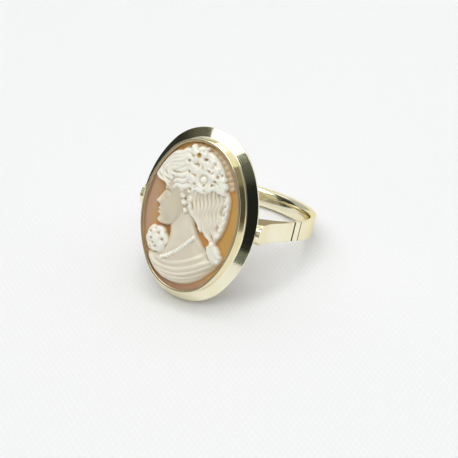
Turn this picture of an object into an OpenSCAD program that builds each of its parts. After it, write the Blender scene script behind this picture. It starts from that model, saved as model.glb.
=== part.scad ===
// Cameo ring lying on its side: a gold mount with a broad sloping flange, and an oval shell cameo.
// The ring is drawn upright first, with the finger's axis along Z and the cameo facing -Y.
// It is then leaned back until the flange and the rear of the band both touch the surface.

/* [Band] */
// Diameter of the finger hole
finger_d = 17.3; // [15:0.1:20]
// Width of the band along the finger
band_w = 2.3; // [1.8:0.1:3]
// Thickness of the band at the back of the finger
band_t = 1.05; // [0.8:0.05:1.6]
// How far the outer round is moved to the back of the finger
band_shift = 0.25; // [0:0.05:0.4]
// Bevel round both inner edges of the band
inner_bevel = 0.4; // [0.2:0.05:0.5]

/* [Shoulders] */
// Half of the distance across the two flat shoulders, where they start to flare
shoulder_x = 7.97; // [7.8:0.01:8.3]
// Distance from the finger's axis to the place where the shoulders start to flare
shoulder_y = 7.2; // [6.6:0.1:7.8]
// How far each shoulder's tip flares outwards
flare = 0.12; // [0:0.02:0.3]
// Depth of the cut grooves
groove_depth = 0.12; // [0.08:0.01:0.2]
// Width of the groove nearer the cameo
groove_wide = 0.2; // [0.12:0.01:0.3]
// Width of the groove nearer the back
groove_narrow = 0.12; // [0.08:0.01:0.2]
// Radius of each shoulder's rounded tip, as a share of the band's width
tip_round = 0.65; // [0.55:0.05:1]

/* [Cameo] */
// Width of the cameo
cameo_w = 12.2; // [11.6:0.1:12.6]
// Height of the cameo along the finger
cameo_h = 17.4; // [16:0.1:19]
// Thickness of the cameo at its edge
cameo_edge_t = 1.5; // [1.3:0.05:1.55]
// Flat margin round the carving, under the lip
margin = 0.2; // [0.2:0.05:0.5]
// Rise of the amber ground in the middle
ground_rise = 0.5; // [0.2:0.05:0.8]
// Height of the white relief over the ground
relief_h = 1.4; // [0.6:0.05:1.6]

/* [Bezel] */
// Distance from the finger's axis to the top of the bezel
bezel_top = 11.8; // [11.7:0.05:12.4]
// Thickness of the bezel wall
wall_t = 0.22; // [0.2:0.01:0.35]
// Height of the bezel wall over the flange
wall_h = 1.55; // [1.2:0.05:1.7]
// Width of the lip that holds the cameo
lip_w = 0.1; // [0.08:0.01:0.2]
// Height of the lip's inner face over the cameo's edge
lip_t = 0.5; // [0.3:0.05:0.6]
// Width of the seat under the cameo's edge
seat_w = 0.75; // [0.65:0.05:1]
// Thickness of the seat
seat_t = 0.5; // [0.4:0.05:0.55]
// Gap between the cameo and the gold round it
stone_gap = 0.04; // [0.02:0.01:0.06]

/* [Flange] */
// Width of the sloping flange
flange_w = 1.26; // [1:0.02:1.5]
// Drop of the flange's face from the wall to the rim
flange_drop = 0.45; // [0.3:0.05:0.6]
// Thickness of the flange at its rim
rim_t = 0.45; // [0.35:0.05:0.6]

/* [Gallery] */
// Thickness of the gallery wall
gallery_t = 0.6; // [0.5:0.05:0.8]
// Distance from the finger's axis to the gallery's lower edge
gallery_low = 7.6; // [7.2:0.1:8.2]
// Extra room between the finger and the gallery
finger_room = 0.35; // [0.2:0.05:0.4]

/* [Hidden] */
$fn = 96;

finger_r = finger_d / 2;
band_r = finger_r + band_t - band_shift;
bevel = min(inner_bevel, 0.6 * (band_t - band_shift));
back_y = finger_r + band_t;
tip_x = shoulder_x + flare;

// The flanks of the band's outline start a little inside the round, so that they cross it.
flank_bite = 0.03;
flank_far = norm([shoulder_x, shoulder_y + band_shift]);
flank_turn = acos((band_r - flank_bite) / flank_far) - atan2(shoulder_y + band_shift, shoulder_x);
flank_x = (band_r - flank_bite) * cos(flank_turn);
flank_y = band_shift + (band_r - flank_bite) * sin(flank_turn);

groove_wide_y = 0.37 * shoulder_y;
groove_narrow_y = 0.215 * shoulder_y;

// The pocket's half width and half height.
pocket_x = cameo_w / 2 + stone_gap;
pocket_z = cameo_h / 2 + stone_gap;

// Heights over the finger's axis, from the top of the bezel down.
lip_under = bezel_top - lip_t;
cameo_top = lip_under - stone_gap;
cameo_back = cameo_top - cameo_edge_t;
seat_top = cameo_back - stone_gap;
seat_under = seat_top - seat_t;
foot = bezel_top - wall_h;
rim_top = foot - flange_drop;
rim_under = rim_top - rim_t;
rim_out = wall_t + flange_w;
lip_round = 0.07;
soldered = 0.1;

// The shoulders end a little under the flange's face, in a round about a line across the ring.
tip_end = rim_top - soldered;
tip_r = tip_round * band_w;

// The lean that brings the flange's lower rim and the back of the band to one level.
lean = atan((pocket_z + rim_out - band_w / 2) / (rim_under + back_y));

// The mesh of the carving, as cells across and along.
cells_x = 58;
cells_z = 82;

// Each oval has four arcs. Their centres are the corners of 3-4-5 triangles, so one angle
// holds for every oval, and half its width and half its height give both radii.
joint = atan(3 / 4);
function side_r(x, z) = 2 * z - x;
function end_r(x, z) = (3 * x - z) / 2;

// Distance from an oval's centre to its edge, in the direction of an angle from its width.
function oval_reach(x, z, angle) =
    let (
        ax = abs(cos(angle)),
        az = abs(sin(angle)),
        end_z = z - end_r(x, z),
        corner = atan2(end_z + end_r(x, z) * sin(joint), end_r(x, z) * cos(joint)),
        at_end = atan2(az, ax) > corner,
        cx = at_end ? 0 : x - side_r(x, z),
        cz = at_end ? end_z : 0,
        radius = at_end ? end_r(x, z) : side_r(x, z),
        along = ax * cx + az * cz
    )
    along + sqrt(along * along - cx * cx - cz * cz + radius * radius);

// A section sweeps round an oval: its x runs outwards from the oval's edge, its y is the height.
module oval_sweep(x, z)
{
    for (side = [0, 1], end = [0, 1])
        mirror([side, 0, 0])
            mirror([0, end, 0]) {
                translate([x - side_r(x, z), 0, 0])
                    rotate_extrude(angle = joint, start = 0)
                        translate([side_r(x, z), 0])
                            children();
                translate([0, z - end_r(x, z), 0])
                    rotate_extrude(angle = 90 - joint, start = joint)
                        translate([end_r(x, z), 0])
                            children();
            }
}

// The section of the bezel, flange, seat and gallery in one outline.
module head_section()
{
    polygon([
        [0, lip_under],
        [-lip_w, lip_under],
        [-lip_w, bezel_top - lip_round],
        [-lip_w + lip_round, bezel_top],
        [wall_t - lip_round, bezel_top],
        [wall_t, bezel_top - lip_round],
        [wall_t, foot],
        [rim_out, rim_top],
        [rim_out, rim_under],
        [soldered, seat_under],
        [soldered, gallery_low],
        [soldered - gallery_t, gallery_low],
        [soldered - gallery_t, seat_under],
        [-seat_w, seat_under],
        [-seat_w, seat_top],
        [0, seat_top]
    ]);
}

// The head stands on the finger's side, with its heights along -Y and its length along Z.
module head()
{
    difference() {
        rotate([90, 0, 0])
            oval_sweep(pocket_x, pocket_z)
                head_section();
        cylinder(h = 2 * (pocket_z + rim_out), r = finger_r + finger_room, center = true);
    }
}

// The band's outline seen along the finger: a round with two straight flanks that flare at their tips.
module band_outline()
{
    translate([0, band_shift])
        circle(r = band_r);
    polygon([
        [0, 0],
        [flank_x, flank_y],
        [shoulder_x, -shoulder_y],
        [tip_x, -tip_end],
        [-tip_x, -tip_end],
        [-shoulder_x, -shoulder_y],
        [-flank_x, flank_y]
    ]);
}

// Two grooves run across the outer face of one shoulder.
module grooves()
{
    for (cut = [[groove_wide_y, groove_wide], [groove_narrow_y, groove_narrow]])
        translate([groove_x(cut[0]) - groove_depth, -cut[0] - cut[1] / 2, -band_w])
            cube([2 * band_t, cut[1], 2 * band_w]);
}

// Where the outer face of a shoulder is, at a distance from the finger's axis towards the cameo.
function groove_x(y) = y > -flank_y
    ? flank_x + (shoulder_x - flank_x) * (y + flank_y) / (shoulder_y + flank_y)
    : sqrt(band_r * band_r - (y + band_shift) * (y + band_shift));

// What the rounding takes off both tips: all that lies beyond a round bar across the ring.
module tip_waste()
{
    difference() {
        translate([-2 * tip_x, -2 * rim_top, -band_w])
            cube([4 * tip_x, 2 * rim_top - tip_end + tip_r, 2 * band_w]);
        translate([0, tip_r - tip_end, 0])
            rotate([0, 90, 0])
                cylinder(h = 6 * tip_x, r = tip_r, center = true);
    }
}

// The room for the finger, wider at both edges of the band by the bevel.
module finger_hole()
{
    cylinder(h = 2 * band_w, r = finger_r, center = true);
    for (end = [0, 1])
        mirror([0, 0, end])
            translate([0, 0, band_w / 2 - bevel])
                cylinder(h = 2 * bevel, r1 = finger_r, r2 = finger_r + 2 * bevel);
}

// The band and its shoulders, open between the two gallery walls and under the cameo's pocket.
module band()
{
    open_x = pocket_x + soldered - gallery_t;
    seat_x = pocket_x + soldered / 2;
    difference() {
        linear_extrude(height = band_w, center = true)
            band_outline();
        finger_hole();
        translate([-open_x, -2 * rim_top, -band_w])
            cube([2 * open_x, 2 * rim_top, 2 * band_w]);
        translate([-seat_x, -2 * rim_top, -band_w])
            cube([2 * seat_x, 2 * rim_top - seat_under - soldered, 2 * band_w]);
        tip_waste();
        for (side = [0, 1])
            mirror([side, 0, 0])
                grooves();
    }
}

module gold_mount()
{
    color("gold")
        rotate([-lean, 0, 0]) {
            head();
            band();
        }
}

half_x = cameo_w / 2;
half_z = cameo_h / 2;

// The head is drawn in equal thirds, from the hairline to the brow, the nose's base and the chin.
// These are the chin's and the forehead's places and a third, as shares of the half height and half width.
chin_z = -0.20;
third_z = 0.238;
forehead_x = -0.63;
third_x = 0.34;
function on_face(over, behind) = [forehead_x + behind * third_x, chin_z + over * third_z];

// The head's front and jaw, as thirds over the chin and thirds behind the forehead.
PROFILE = [
    [3.0, 0.24], [2.6, 0.04], [2.25, 0], [2.03, 0.03], [1.86, 0.04], [1.7, -0.02], [1.45, -0.17],
    [1.26, -0.31], [1.14, -0.38], [1.04, -0.32], [0.97, -0.07], [0.87, -0.08], [0.75, -0.17], [0.66, -0.07],
    [0.56, -0.14], [0.42, 0.02], [0.3, 0.01], [0.2, -0.04], [0.08, -0.02], [-0.03, 0.16], [-0.06, 0.36],
    [-0.02, 0.66], [0.12, 1.02], [0.34, 1.34], [0.68, 1.58], [1.2, 1.72], [2, 2.1], [2.9, 2.2],
    [3.6, 1.6], [3.6, 0.9]
];

// Soft swellings and hollows of the face: thirds over the chin, thirds behind the forehead, half length,
// half width, turn in degrees and rise, all but the turn as thirds or shares of the relief's height.
FEATURES = [
    [1.18, 0.86, 0.95, 0.85, 25, 0.08],
    [2.45, 0.75, 0.9, 0.9, 0, 0.04],
    [1.8, 0.3, 0.4, 0.38, 0, -0.16],
    [2.1, 0.38, 0.25, 0.62, 6, 0.07],
    [1.71, 0.36, 0.22, 0.3, -6, 0.15],
    [0.17, 0.16, 0.36, 0.32, 0, 0.06],
    [1.42, -0.02, 0.6, 0.25, -20, 0.08],
    [1.14, -0.04, 0.22, 0.22, 0, 0.06],
    [0.75, 0, 0.14, 0.32, 8, 0.06],
    [0.55, 0, 0.14, 0.3, -8, 0.06],
    [0.655, 0.06, 0.12, 0.34, 0, -0.07]
];

// Forms of the carving, the higher one showing where they cross. Each has its share of the relief's height,
// the width of its rounded edge as a share of the half width, and its outline's places across and along
// as shares of the half width and half height: the bust, the gown, the back hair, the front hair and the rose.
FORMS = [
    [0.44, 0.2, [
        [-0.33, -0.15], [-0.315, -0.28], [-0.33, -0.42], [-0.42, -0.52], [-0.62, -0.6], [-0.78, -0.655],
        [-0.72, -0.73], [-0.54, -0.83], [-0.32, -0.905], [-0.05, -0.935], [0.22, -0.9], [0.48, -0.79],
        [0.7, -0.62], [0.84, -0.47], [0.85, -0.39], [0.74, -0.375], [0.6, -0.385], [0.45, -0.325],
        [0.31, -0.22], [0.19, -0.105], [0.1, 0.1], [-0.2, 0.1]]],
    [0.5, 0.2, [
        [-0.5, -0.63], [-0.3, -0.645], [-0.08, -0.62], [0.14, -0.555], [0.34, -0.47], [0.5, -0.375],
        [0.62, -0.385], [0.74, -0.375], [0.85, -0.39], [0.84, -0.47], [0.7, -0.62], [0.48, -0.79],
        [0.22, -0.9], [-0.05, -0.935], [-0.32, -0.905], [-0.54, -0.83], [-0.72, -0.73], [-0.78, -0.655]]],
    [0.44, 0.11, [
        [0.02, 0.42], [0.25, 0.47], [0.5, 0.5], [0.68, 0.46], [0.745, 0.34], [0.765, 0.12], [0.73, -0.06],
        [0.65, -0.18], [0.56, -0.225], [0.46, -0.16], [0.35, -0.08], [0.24, 0.01], [0.12, 0.12], [0.02, 0.25]]],
    [0.6, 0.12, [
        [0.1, 0.36], [0.02, 0.28], [-0.12, 0.3], [-0.28, 0.31], [-0.42, 0.3], [-0.54, 0.29], [-0.66, 0.34],
        [-0.8, 0.4], [-0.87, 0.43], [-0.865, 0.5], [-0.79, 0.59], [-0.69, 0.655], [-0.58, 0.71],
        [-0.45, 0.765], [-0.3, 0.85], [-0.05, 0.9], [0.2, 0.86], [0.4, 0.76], [0.55, 0.62], [0.6, 0.5],
        [0.4, 0.44]]],
    [0.42, 0.1, [
        [-0.57, -0.245], [-0.405, -0.285], [-0.325, -0.385], [-0.335, -0.495], [-0.445, -0.585],
        [-0.585, -0.595], [-0.705, -0.535], [-0.775, -0.425], [-0.745, -0.315]]]
];

// The front hair's locks are nested swirls: one outer course, drawn in towards its middle step by step.
SWIRL = [
    [-0.06, 0.85], [-0.28, 0.825], [-0.5, 0.745], [-0.68, 0.64], [-0.795, 0.54], [-0.8, 0.46],
    [-0.7, 0.39], [-0.52, 0.335]
];
swirl_middle = [-0.42, 0.53];
SWIRLS = [for (k = [0:3])
    [0.7 + 0.02 * k, 0.06, [for (p = SWIRL) swirl_middle + (1 - 0.22 * k) * (p - swirl_middle)]]];

// Rounded ridges: locks of hair, tresses, the folds of the gown and the pearl string.
// Each has its share of the relief's height, its half width as a share of the half width, and its places.
RIDGES = [
    [0.76, 0.055, [[-0.05, 0.76], [-0.18, 0.75], [-0.3, 0.72], [-0.42, 0.68]]],
    [0.76, 0.055, [[-0.05, 0.66], [-0.18, 0.65], [-0.3, 0.62], [-0.42, 0.58]]],
    [0.76, 0.055, [[-0.05, 0.56], [-0.18, 0.55], [-0.3, 0.51], [-0.4, 0.47]]],
    [0.76, 0.055, [[-0.05, 0.46], [-0.18, 0.43], [-0.28, 0.38], [-0.4, 0.33]]],
    [0.74, 0.05, [[0.04, 0.36], [-0.08, 0.31], [-0.12, 0.25], [0.0, 0.24], [-0.06, 0.18], [0.02, 0.15]]],
    [0.6, 0.06, [[0.1, 0.42], [0.13, 0.28], [0.13, 0.2], [0.25, 0.08], [0.36, -0.06]]],
    [0.6, 0.06, [[0.24, 0.44], [0.28, 0.3], [0.27, 0.18], [0.36, 0.06], [0.46, -0.1], [0.56, -0.2]]],
    [0.6, 0.06, [[0.38, 0.46], [0.42, 0.32], [0.41, 0.2], [0.48, 0.06], [0.54, -0.1], [0.61, -0.23]]],
    [0.58, 0.06, [[0.52, 0.47], [0.56, 0.32], [0.55, 0.2], [0.6, 0.06], [0.62, -0.1]]],
    [0.56, 0.06, [[0.62, 0.47], [0.7, 0.36], [0.728, 0.2], [0.725, 0.05], [0.685, -0.08], [0.62, -0.18]]],
    [0.6, 0.05, [[-0.56, -0.64], [-0.28, -0.66], [-0.04, -0.63], [0.2, -0.55], [0.42, -0.45], [0.6, -0.39]]],
    [0.62, 0.05, [[-0.6, -0.7], [-0.3, -0.735], [0, -0.7], [0.3, -0.6], [0.56, -0.48], [0.74, -0.4]]],
    [0.61, 0.05, [[-0.56, -0.765], [-0.26, -0.8], [0.06, -0.77], [0.36, -0.67], [0.6, -0.55], [0.8, -0.43]]],
    [0.57, 0.05, [[-0.46, -0.83], [-0.2, -0.86], [0.1, -0.835], [0.4, -0.735], [0.66, -0.59]]],
    [0.56, 0.06, [[0.6, -0.26], [0.68, -0.33], [0.75, -0.375], [0.82, -0.41]]],
    [0.52, 0.03, [[-0.36, -0.635], [-0.16, -0.54], [0.06, -0.39], [0.235, -0.24]]]
];

// Leaves and petals of the wreath: place across and along, half length and half width as shares
// of the half width, turn in degrees and share of the relief's height.
LEAVES = [
    [0.1, 0.92, 0.1, 0.05, 80, 0.2], [0.22, 0.895, 0.1, 0.05, 50, 0.2], [0.33, 0.85, 0.1, 0.05, 62, 0.2],
    [0.42, 0.8, 0.1, 0.05, 38, 0.2], [0.5, 0.745, 0.1, 0.05, 52, 0.2], [0.57, 0.69, 0.1, 0.05, 25, 0.2],
    [0.63, 0.63, 0.09, 0.045, 42, 0.2], [0.67, 0.57, 0.09, 0.045, 12, 0.2], [0.71, 0.51, 0.08, 0.04, 30, 0.2],
    [0, 0.94, 0.08, 0.04, 105, 0.2], [-0.11, 0.93, 0.08, 0.04, 130, 0.2],
    [0.36, 0.665, 0.115, 0.08, 40, 0.78], [0.49, 0.605, 0.115, 0.08, 8, 0.78],
    [0.585, 0.535, 0.1, 0.07, -30, 0.76], [0.37, 0.49, 0.1, 0.07, -30, 0.76],
    [0.51, 0.475, 0.09, 0.065, -50, 0.76], [0.12, 0.72, 0.1, 0.07, 70, 0.78],
    [0.25, 0.75, 0.1, 0.07, 65, 0.78], [-0.21, 0.765, 0.07, 0.05, 165, 0.76],
    [-0.09, 0.64, 0.08, 0.06, 160, 0.78], [-0.1, 0.52, 0.085, 0.06, 200, 0.78],
    [0.05, 0.41, 0.085, 0.06, 240, 0.76], [0.25, 0.42, 0.085, 0.06, -65, 0.74]
];

// Flowers: place across, place along, radius as a share of the half width and share of the relief's height.
FLOWERS = [
    [-0.013, 0.825, 0.165, 0.86],
    [0.19, 0.54, 0.24, 0.88],
    [0.4, 0.72, 0.09, 0.8],
    [0.27, 0.8, 0.08, 0.8],
    [0.55, 0.6, 0.08, 0.8],
    [-0.55, -0.42, 0.21, 0.72]
];
petals = 6;

// The button in the middle of the large flower, and the hole in the middle of the top one.
button = [0.19, 0.54, 0.07, 0.95];
hole = [-0.013, 0.825, 0.05];

// The pearls along the last ridge, and the radius of one as a share of the half width.
pearls = 12;
pearl_size = 0.039;

// Places in millimetres from shares of the half width and half height.
function sized(places) = [for (p = places) [p[0] * half_x, p[1] * half_z]];

// A smooth line through four neighbouring places, at a share of the way from the second to the third.
function between(a, b, c, d, t) =
    (2 * b + (c - a) * t + (2 * a - 5 * b + 4 * c - d) * t * t + (3 * b - a - 3 * c + d) * t * t * t) / 2;

// More places on a smooth line through the chosen ones, which closes on itself or stops at its ends.
bends = 3;
function smoothed(places, closed) =
    let (n = len(places), last = closed ? n - 1 : n - 2)
    concat(
        [for (i = [0:last], t = [0:bends - 1])
            between(
                closed ? places[(i + n - 1) % n] : places[max(i - 1, 0)],
                places[i],
                closed ? places[(i + 1) % n] : places[i + 1],
                closed ? places[(i + 2) % n] : places[min(i + 2, n - 1)],
                t / bends)],
        [closed ? places[0] : places[n - 1]]
    );

// Every line with its height, its width in millimetres and the box that holds it.
function lined(row, closed) =
    let (
        line = smoothed(sized(row[2]), closed),
        spare = closed ? 0 : row[1] * half_x,
        xs = [for (p = line) p[0]],
        zs = [for (p = line) p[1]]
    )
    [row[0], row[1] * half_x, line, min(xs) - spare, max(xs) + spare, min(zs) - spare, max(zs) + spare];
function beside(p, row) = p[0] < row[3] || p[0] > row[4] || p[1] < row[5] || p[1] > row[6];

HEAD = lined([0.62, 0.3, [for (p = PROFILE) on_face(p[0], p[1])]], true);
FORM_LINES = concat([for (row = FORMS) lined(row, true)], [HEAD]);
RIDGE_LINES = [for (row = concat(SWIRLS, RIDGES)) lined(row, false)];
STRING = RIDGE_LINES[len(RIDGE_LINES) - 1][2];

// Distance from a place to a straight piece and to a whole line, and whether a place is inside an outline.
function to_piece(p, a, b) =
    let (d = b - a, k = max(0, min(1, (p - a) * d / (d * d))))
    norm(p - a - k * d);
function to_line(p, line) = min([for (i = [1:len(line) - 1]) to_piece(p, line[i - 1], line[i])]);
function is_inside(p, line) =
    len([for (i = [1:len(line) - 1])
        let (a = line[i - 1], b = line[i])
        if ((a[1] > p[1]) != (b[1] > p[1])
            && p[0] < a[0] + (p[1] - a[1]) * (b[0] - a[0]) / (b[1] - a[1])) 1]) % 2 == 1;

// A rounded rise from 0 at an edge to 1 at a width from it.
function rounded(gap, width) = let (t = 1 - min(1, gap / width)) sqrt(1 - t * t);

// The side of every form is crisp over this width, and its crown swells gently over its own.
crisp = 0.35;
function form(p, row) =
    beside(p, row) || !is_inside(p, row[2]) ? 0 :
    let (gap = to_line(p, row[2]))
    row[0] * rounded(gap, crisp) * (0.55 + 0.45 * rounded(gap, row[1]));

// A ridge stands on the form below it, and reaches its full height in the middle.
function ridge(p, row) =
    beside(p, row) ? 0 :
    let (t = to_line(p, row[2]) / row[1])
    t < 1 ? row[0] * (0.8 + 0.2 * sqrt(1 - t * t)) : 0;

// How far a place is inside an oval with its own place, half sizes and turn: 1 in the middle, 0 at its edge.
function in_oval(p, centre, rx, rz, turn) =
    let (
        d = p - centre,
        a = (d[0] * cos(turn) + d[1] * sin(turn)) / rx,
        b = (d[1] * cos(turn) - d[0] * sin(turn)) / rz
    )
    max(0, 1 - a * a - b * b);

function leaf(p, row) =
    row[5] * sqrt(in_oval(p, [row[0] * half_x, row[1] * half_z], row[2] * half_x, row[3] * half_x, row[4]));

function feature(p, row) =
    row[5] * pow(in_oval(p, sized([on_face(row[0], row[1])])[0],
        row[3] * third_x * half_x, row[2] * third_z * half_z, row[4]), 2);

// A flower of round petals, each hollowed a little.
function flower(p, row) =
    let (centre = [row[0] * half_x, row[1] * half_z], r = row[2] * half_x)
    norm(p - centre) > r ? 0 :
    row[3] * max(
        0.8 * sqrt(in_oval(p, centre, r, r, 0)),
        max([for (i = [0:petals - 1])
            let (inner = in_oval(p, centre + 0.6 * r * [cos(360 * i / petals), sin(360 * i / petals)],
                0.42 * r, 0.36 * r, 360 * i / petals))
            (0.75 + 0.25 * sqrt(inner) - 0.12 * inner * inner) * min(1, 20 * inner)]));

// A place on the pearl string, at a share of its points.
function on_string(share) =
    let (k = share * (len(STRING) - 1), i = min(floor(k), len(STRING) - 2))
    STRING[i] + (k - i) * (STRING[i + 1] - STRING[i]);
BEADS = [for (i = [0:pearls]) on_string(i / pearls)];

// The relief's height at a place, as a share of its full height.
function relief(p) =
    let (
        flat = max([for (row = FORM_LINES) form(p, row)]),
        face = flat > 0 && !beside(p, HEAD) ? [for (row = FEATURES) feature(p, row)] : [0],
        base = flat + (is_inside(p, HEAD[2]) ? face * [for (f = face) 1] : 0),
        raised = max(
            max([for (row = RIDGE_LINES) ridge(p, row)]),
            max([for (row = LEAVES) leaf(p, row)]),
            max([for (row = FLOWERS) flower(p, row)]),
            max([for (b = BEADS) 0.6 * sqrt(in_oval(p, b, pearl_size * half_x, pearl_size * half_x, 0))]),
            button[3] * sqrt(in_oval(p, [button[0] * half_x, button[1] * half_z],
                button[2] * half_x, button[2] * half_x, 0))),
        sunk = in_oval(p, [hole[0] * half_x, hole[1] * half_z], hole[2] * half_x, hole[2] * half_x, 0)
    )
    max(base, raised) * (1 - min(1, 3 * sunk));

// Height of the ground and of the relief over the cameo's edge, which stays flat as far in as the margin.
function carving(x, z) =
    let (
        share = norm([x, z]) / oval_reach(half_x - margin, half_z - margin, atan2(z, x)),
        dome = 1 - share * share
    )
    dome <= 0 ? 0 : ground_rise * dome + relief_h * relief([x, z]) * min(1, 8 * dome);

// A point of the carving's mesh, from its place in a square of -1 to 1 each way.
function mesh_point(s, t) =
    let (
        p = half_x * s * sqrt(1 - t * t / 2),
        q = half_z * t * sqrt(1 - s * s / 2),
        share = norm([p / half_x, q / half_z]),
        angle = atan2(q, p),
        reach = share * oval_reach(half_x, half_z, angle),
        x = reach * cos(angle),
        z = reach * sin(angle)
    )
    [x, z, cameo_top + carving(x, z)];

// The rim of the mesh's grid, as the numbers of its points in order.
function grid_rim(nx, nz) = concat(
    [for (i = [0:nx - 1]) i],
    [for (j = [0:nz - 1]) nx + j * (nx + 1)],
    [for (i = [nx:-1:1]) nz * (nx + 1) + i],
    [for (j = [nz:-1:1]) j * (nx + 1)]
);

// One carved piece: the meshed front, a straight edge and a flat back.
module carved_shell()
{
    top = [for (j = [0:cells_z], i = [0:cells_x]) mesh_point(2 * i / cells_x - 1, 2 * j / cells_z - 1)];
    rim = grid_rim(cells_x, cells_z);
    count = len(rim);
    back = [for (k = rim) [top[k][0], top[k][1], cameo_back]];
    first = len(top);
    front_faces = [for (j = [0:cells_z - 1], i = [0:cells_x - 1])
        let (k = j * (cells_x + 1) + i)
        each [[k, k + cells_x + 2, k + 1], [k, k + cells_x + 1, k + cells_x + 2]]];
    side_faces = [for (n = [0:count - 1])
        let (m = (n + 1) % count)
        [rim[n], rim[m], first + m, first + n]];
    back_face = [[for (n = [0:count - 1]) first + n]];
    polyhedron(points = concat(top, back), faces = concat(front_faces, side_faces, back_face), convexity = 8);
}

module shell_cameo()
{
    color("bisque")
        rotate([90 - lean, 0, 0])
            carved_shell();
}

gold_mount();
shell_cameo();
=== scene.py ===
"""Cameo ring on its side: a polished gold mount round an oval shell cameo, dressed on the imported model."""

import logging
import math
from collections.abc import Callable, Iterable, Sequence
from dataclasses import dataclass, field
from enum import Enum

import bmesh
import bpy
import numpy as np
from mathutils import Matrix, Vector


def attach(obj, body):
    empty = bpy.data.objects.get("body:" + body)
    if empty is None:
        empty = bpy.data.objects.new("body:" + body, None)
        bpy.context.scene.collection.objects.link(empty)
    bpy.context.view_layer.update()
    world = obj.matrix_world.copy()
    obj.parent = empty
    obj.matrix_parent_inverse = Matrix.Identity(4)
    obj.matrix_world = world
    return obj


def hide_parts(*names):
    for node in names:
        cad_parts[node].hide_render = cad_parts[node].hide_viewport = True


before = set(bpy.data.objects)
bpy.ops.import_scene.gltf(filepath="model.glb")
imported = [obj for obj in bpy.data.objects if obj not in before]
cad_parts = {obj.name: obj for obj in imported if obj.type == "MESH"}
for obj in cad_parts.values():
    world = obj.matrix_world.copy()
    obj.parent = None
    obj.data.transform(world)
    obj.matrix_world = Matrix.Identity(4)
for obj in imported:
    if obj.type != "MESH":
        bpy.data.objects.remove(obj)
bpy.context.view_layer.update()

LOG = logging.getLogger("cameo_ring")
MM = 0.001
PHOTO_SIZE = 458
THREE_FOUR_FIVE = math.atan(3 / 4)
SHARP_TURN = math.radians(25)
BROAD_TURN = math.radians(40)
LEAST_HEIGHT = 0.02

Point = tuple[float, float]
Colour = tuple[float, float, float, float]
Array = np.ndarray
Mesh = bmesh.types.BMesh
Socket = bpy.types.NodeSocket


class Node(Enum):
    """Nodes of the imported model."""

    MOUNT = "gold_mount"
    CAMEO = "shell_cameo"


class Slot(Enum):
    """Material slots of the record."""

    GOLD = "gold"
    SHELL = "shell"


class Mark(Enum):
    """Values that the carving leaves on the shell for its finish, among them the masks of its painted shade,
    highlights and shadow.
    """

    RELIEF = "relief"
    # Painted shade in the hollows.
    HOLLOW_SHADE = "hollow"
    # Painted highlight on the crests.
    CREST_HIGHLIGHT = "crest_highlight"
    AMBER = "amber"
    SHADE = "shade"
    # Painted shade on the ground beside the carving.
    SHADE_BESIDE = "beside"
    # Painted shadow of the lip along the edge.
    EDGE_SHADOW = "edge_shadow"


@dataclass(frozen=True)
class RingSizes:
    """Sizes of the ring in millimetres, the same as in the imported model."""

    finger_r: float = 8.65
    band_w: float = 2.3
    band_r: float = 9.45
    band_shift: float = 0.25
    inner_bevel: float = 0.4
    shoulder_x: float = 7.97
    shoulder_y: float = 7.2
    tip_x: float = 8.09
    groove_depth: float = 0.12
    groove_wide: float = 0.2
    groove_narrow: float = 0.12
    groove_wide_y: float = 2.664
    groove_narrow_y: float = 1.548
    tip_end: float = 9.7
    tip_r: float = 1.495
    cameo_w: float = 12.2
    cameo_h: float = 17.4
    cameo_top: float = 11.26
    cameo_back: float = 9.76
    margin: float = 0.2
    ground_rise: float = 0.5
    relief_h: float = 1.4
    pocket_x: float = 6.14
    pocket_z: float = 8.74
    bezel_top: float = 11.8
    lip_w: float = 0.1
    lip_under: float = 11.3
    wall_t: float = 0.22
    seat_w: float = 0.75
    seat_top: float = 9.72
    seat_under: float = 9.22
    foot: float = 10.25
    rim_out: float = 1.48
    rim_top: float = 9.8
    rim_under: float = 9.35
    soldered: float = 0.1
    gallery_t: float = 0.6
    gallery_low: float = 7.6
    finger_room: float = 0.35

    @property
    def lean(self) -> float:
        """Angle that the ring leans back by, lying on its flange and the rear of its band."""
        back_y = self.band_r + self.band_shift
        return math.atan((self.pocket_z + self.rim_out - self.band_w / 2) / (self.rim_under + back_y))

    @property
    def open_x(self) -> float:
        """Half width of the opening in front of the finger."""
        return self.pocket_x + self.soldered - self.gallery_t

    @property
    def ring_space(self) -> Matrix:
        """Matrix from the upright ring in millimetres to its place in metres."""
        return Matrix.Rotation(-self.lean, 4, "X") @ Matrix.Scale(MM, 4)

    @property
    def head_space(self) -> Matrix:
        """Matrix from the head, with its height along Z, to its place in metres."""
        return self.ring_space @ Matrix.Rotation(math.pi / 2, 4, "X")

    @property
    def floor_z(self) -> float:
        """Height of the surface that the ring lies on, in metres."""
        low = self.head_space @ Vector((0.0, -(self.pocket_z + self.rim_out), self.rim_under))
        return low.z


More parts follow.
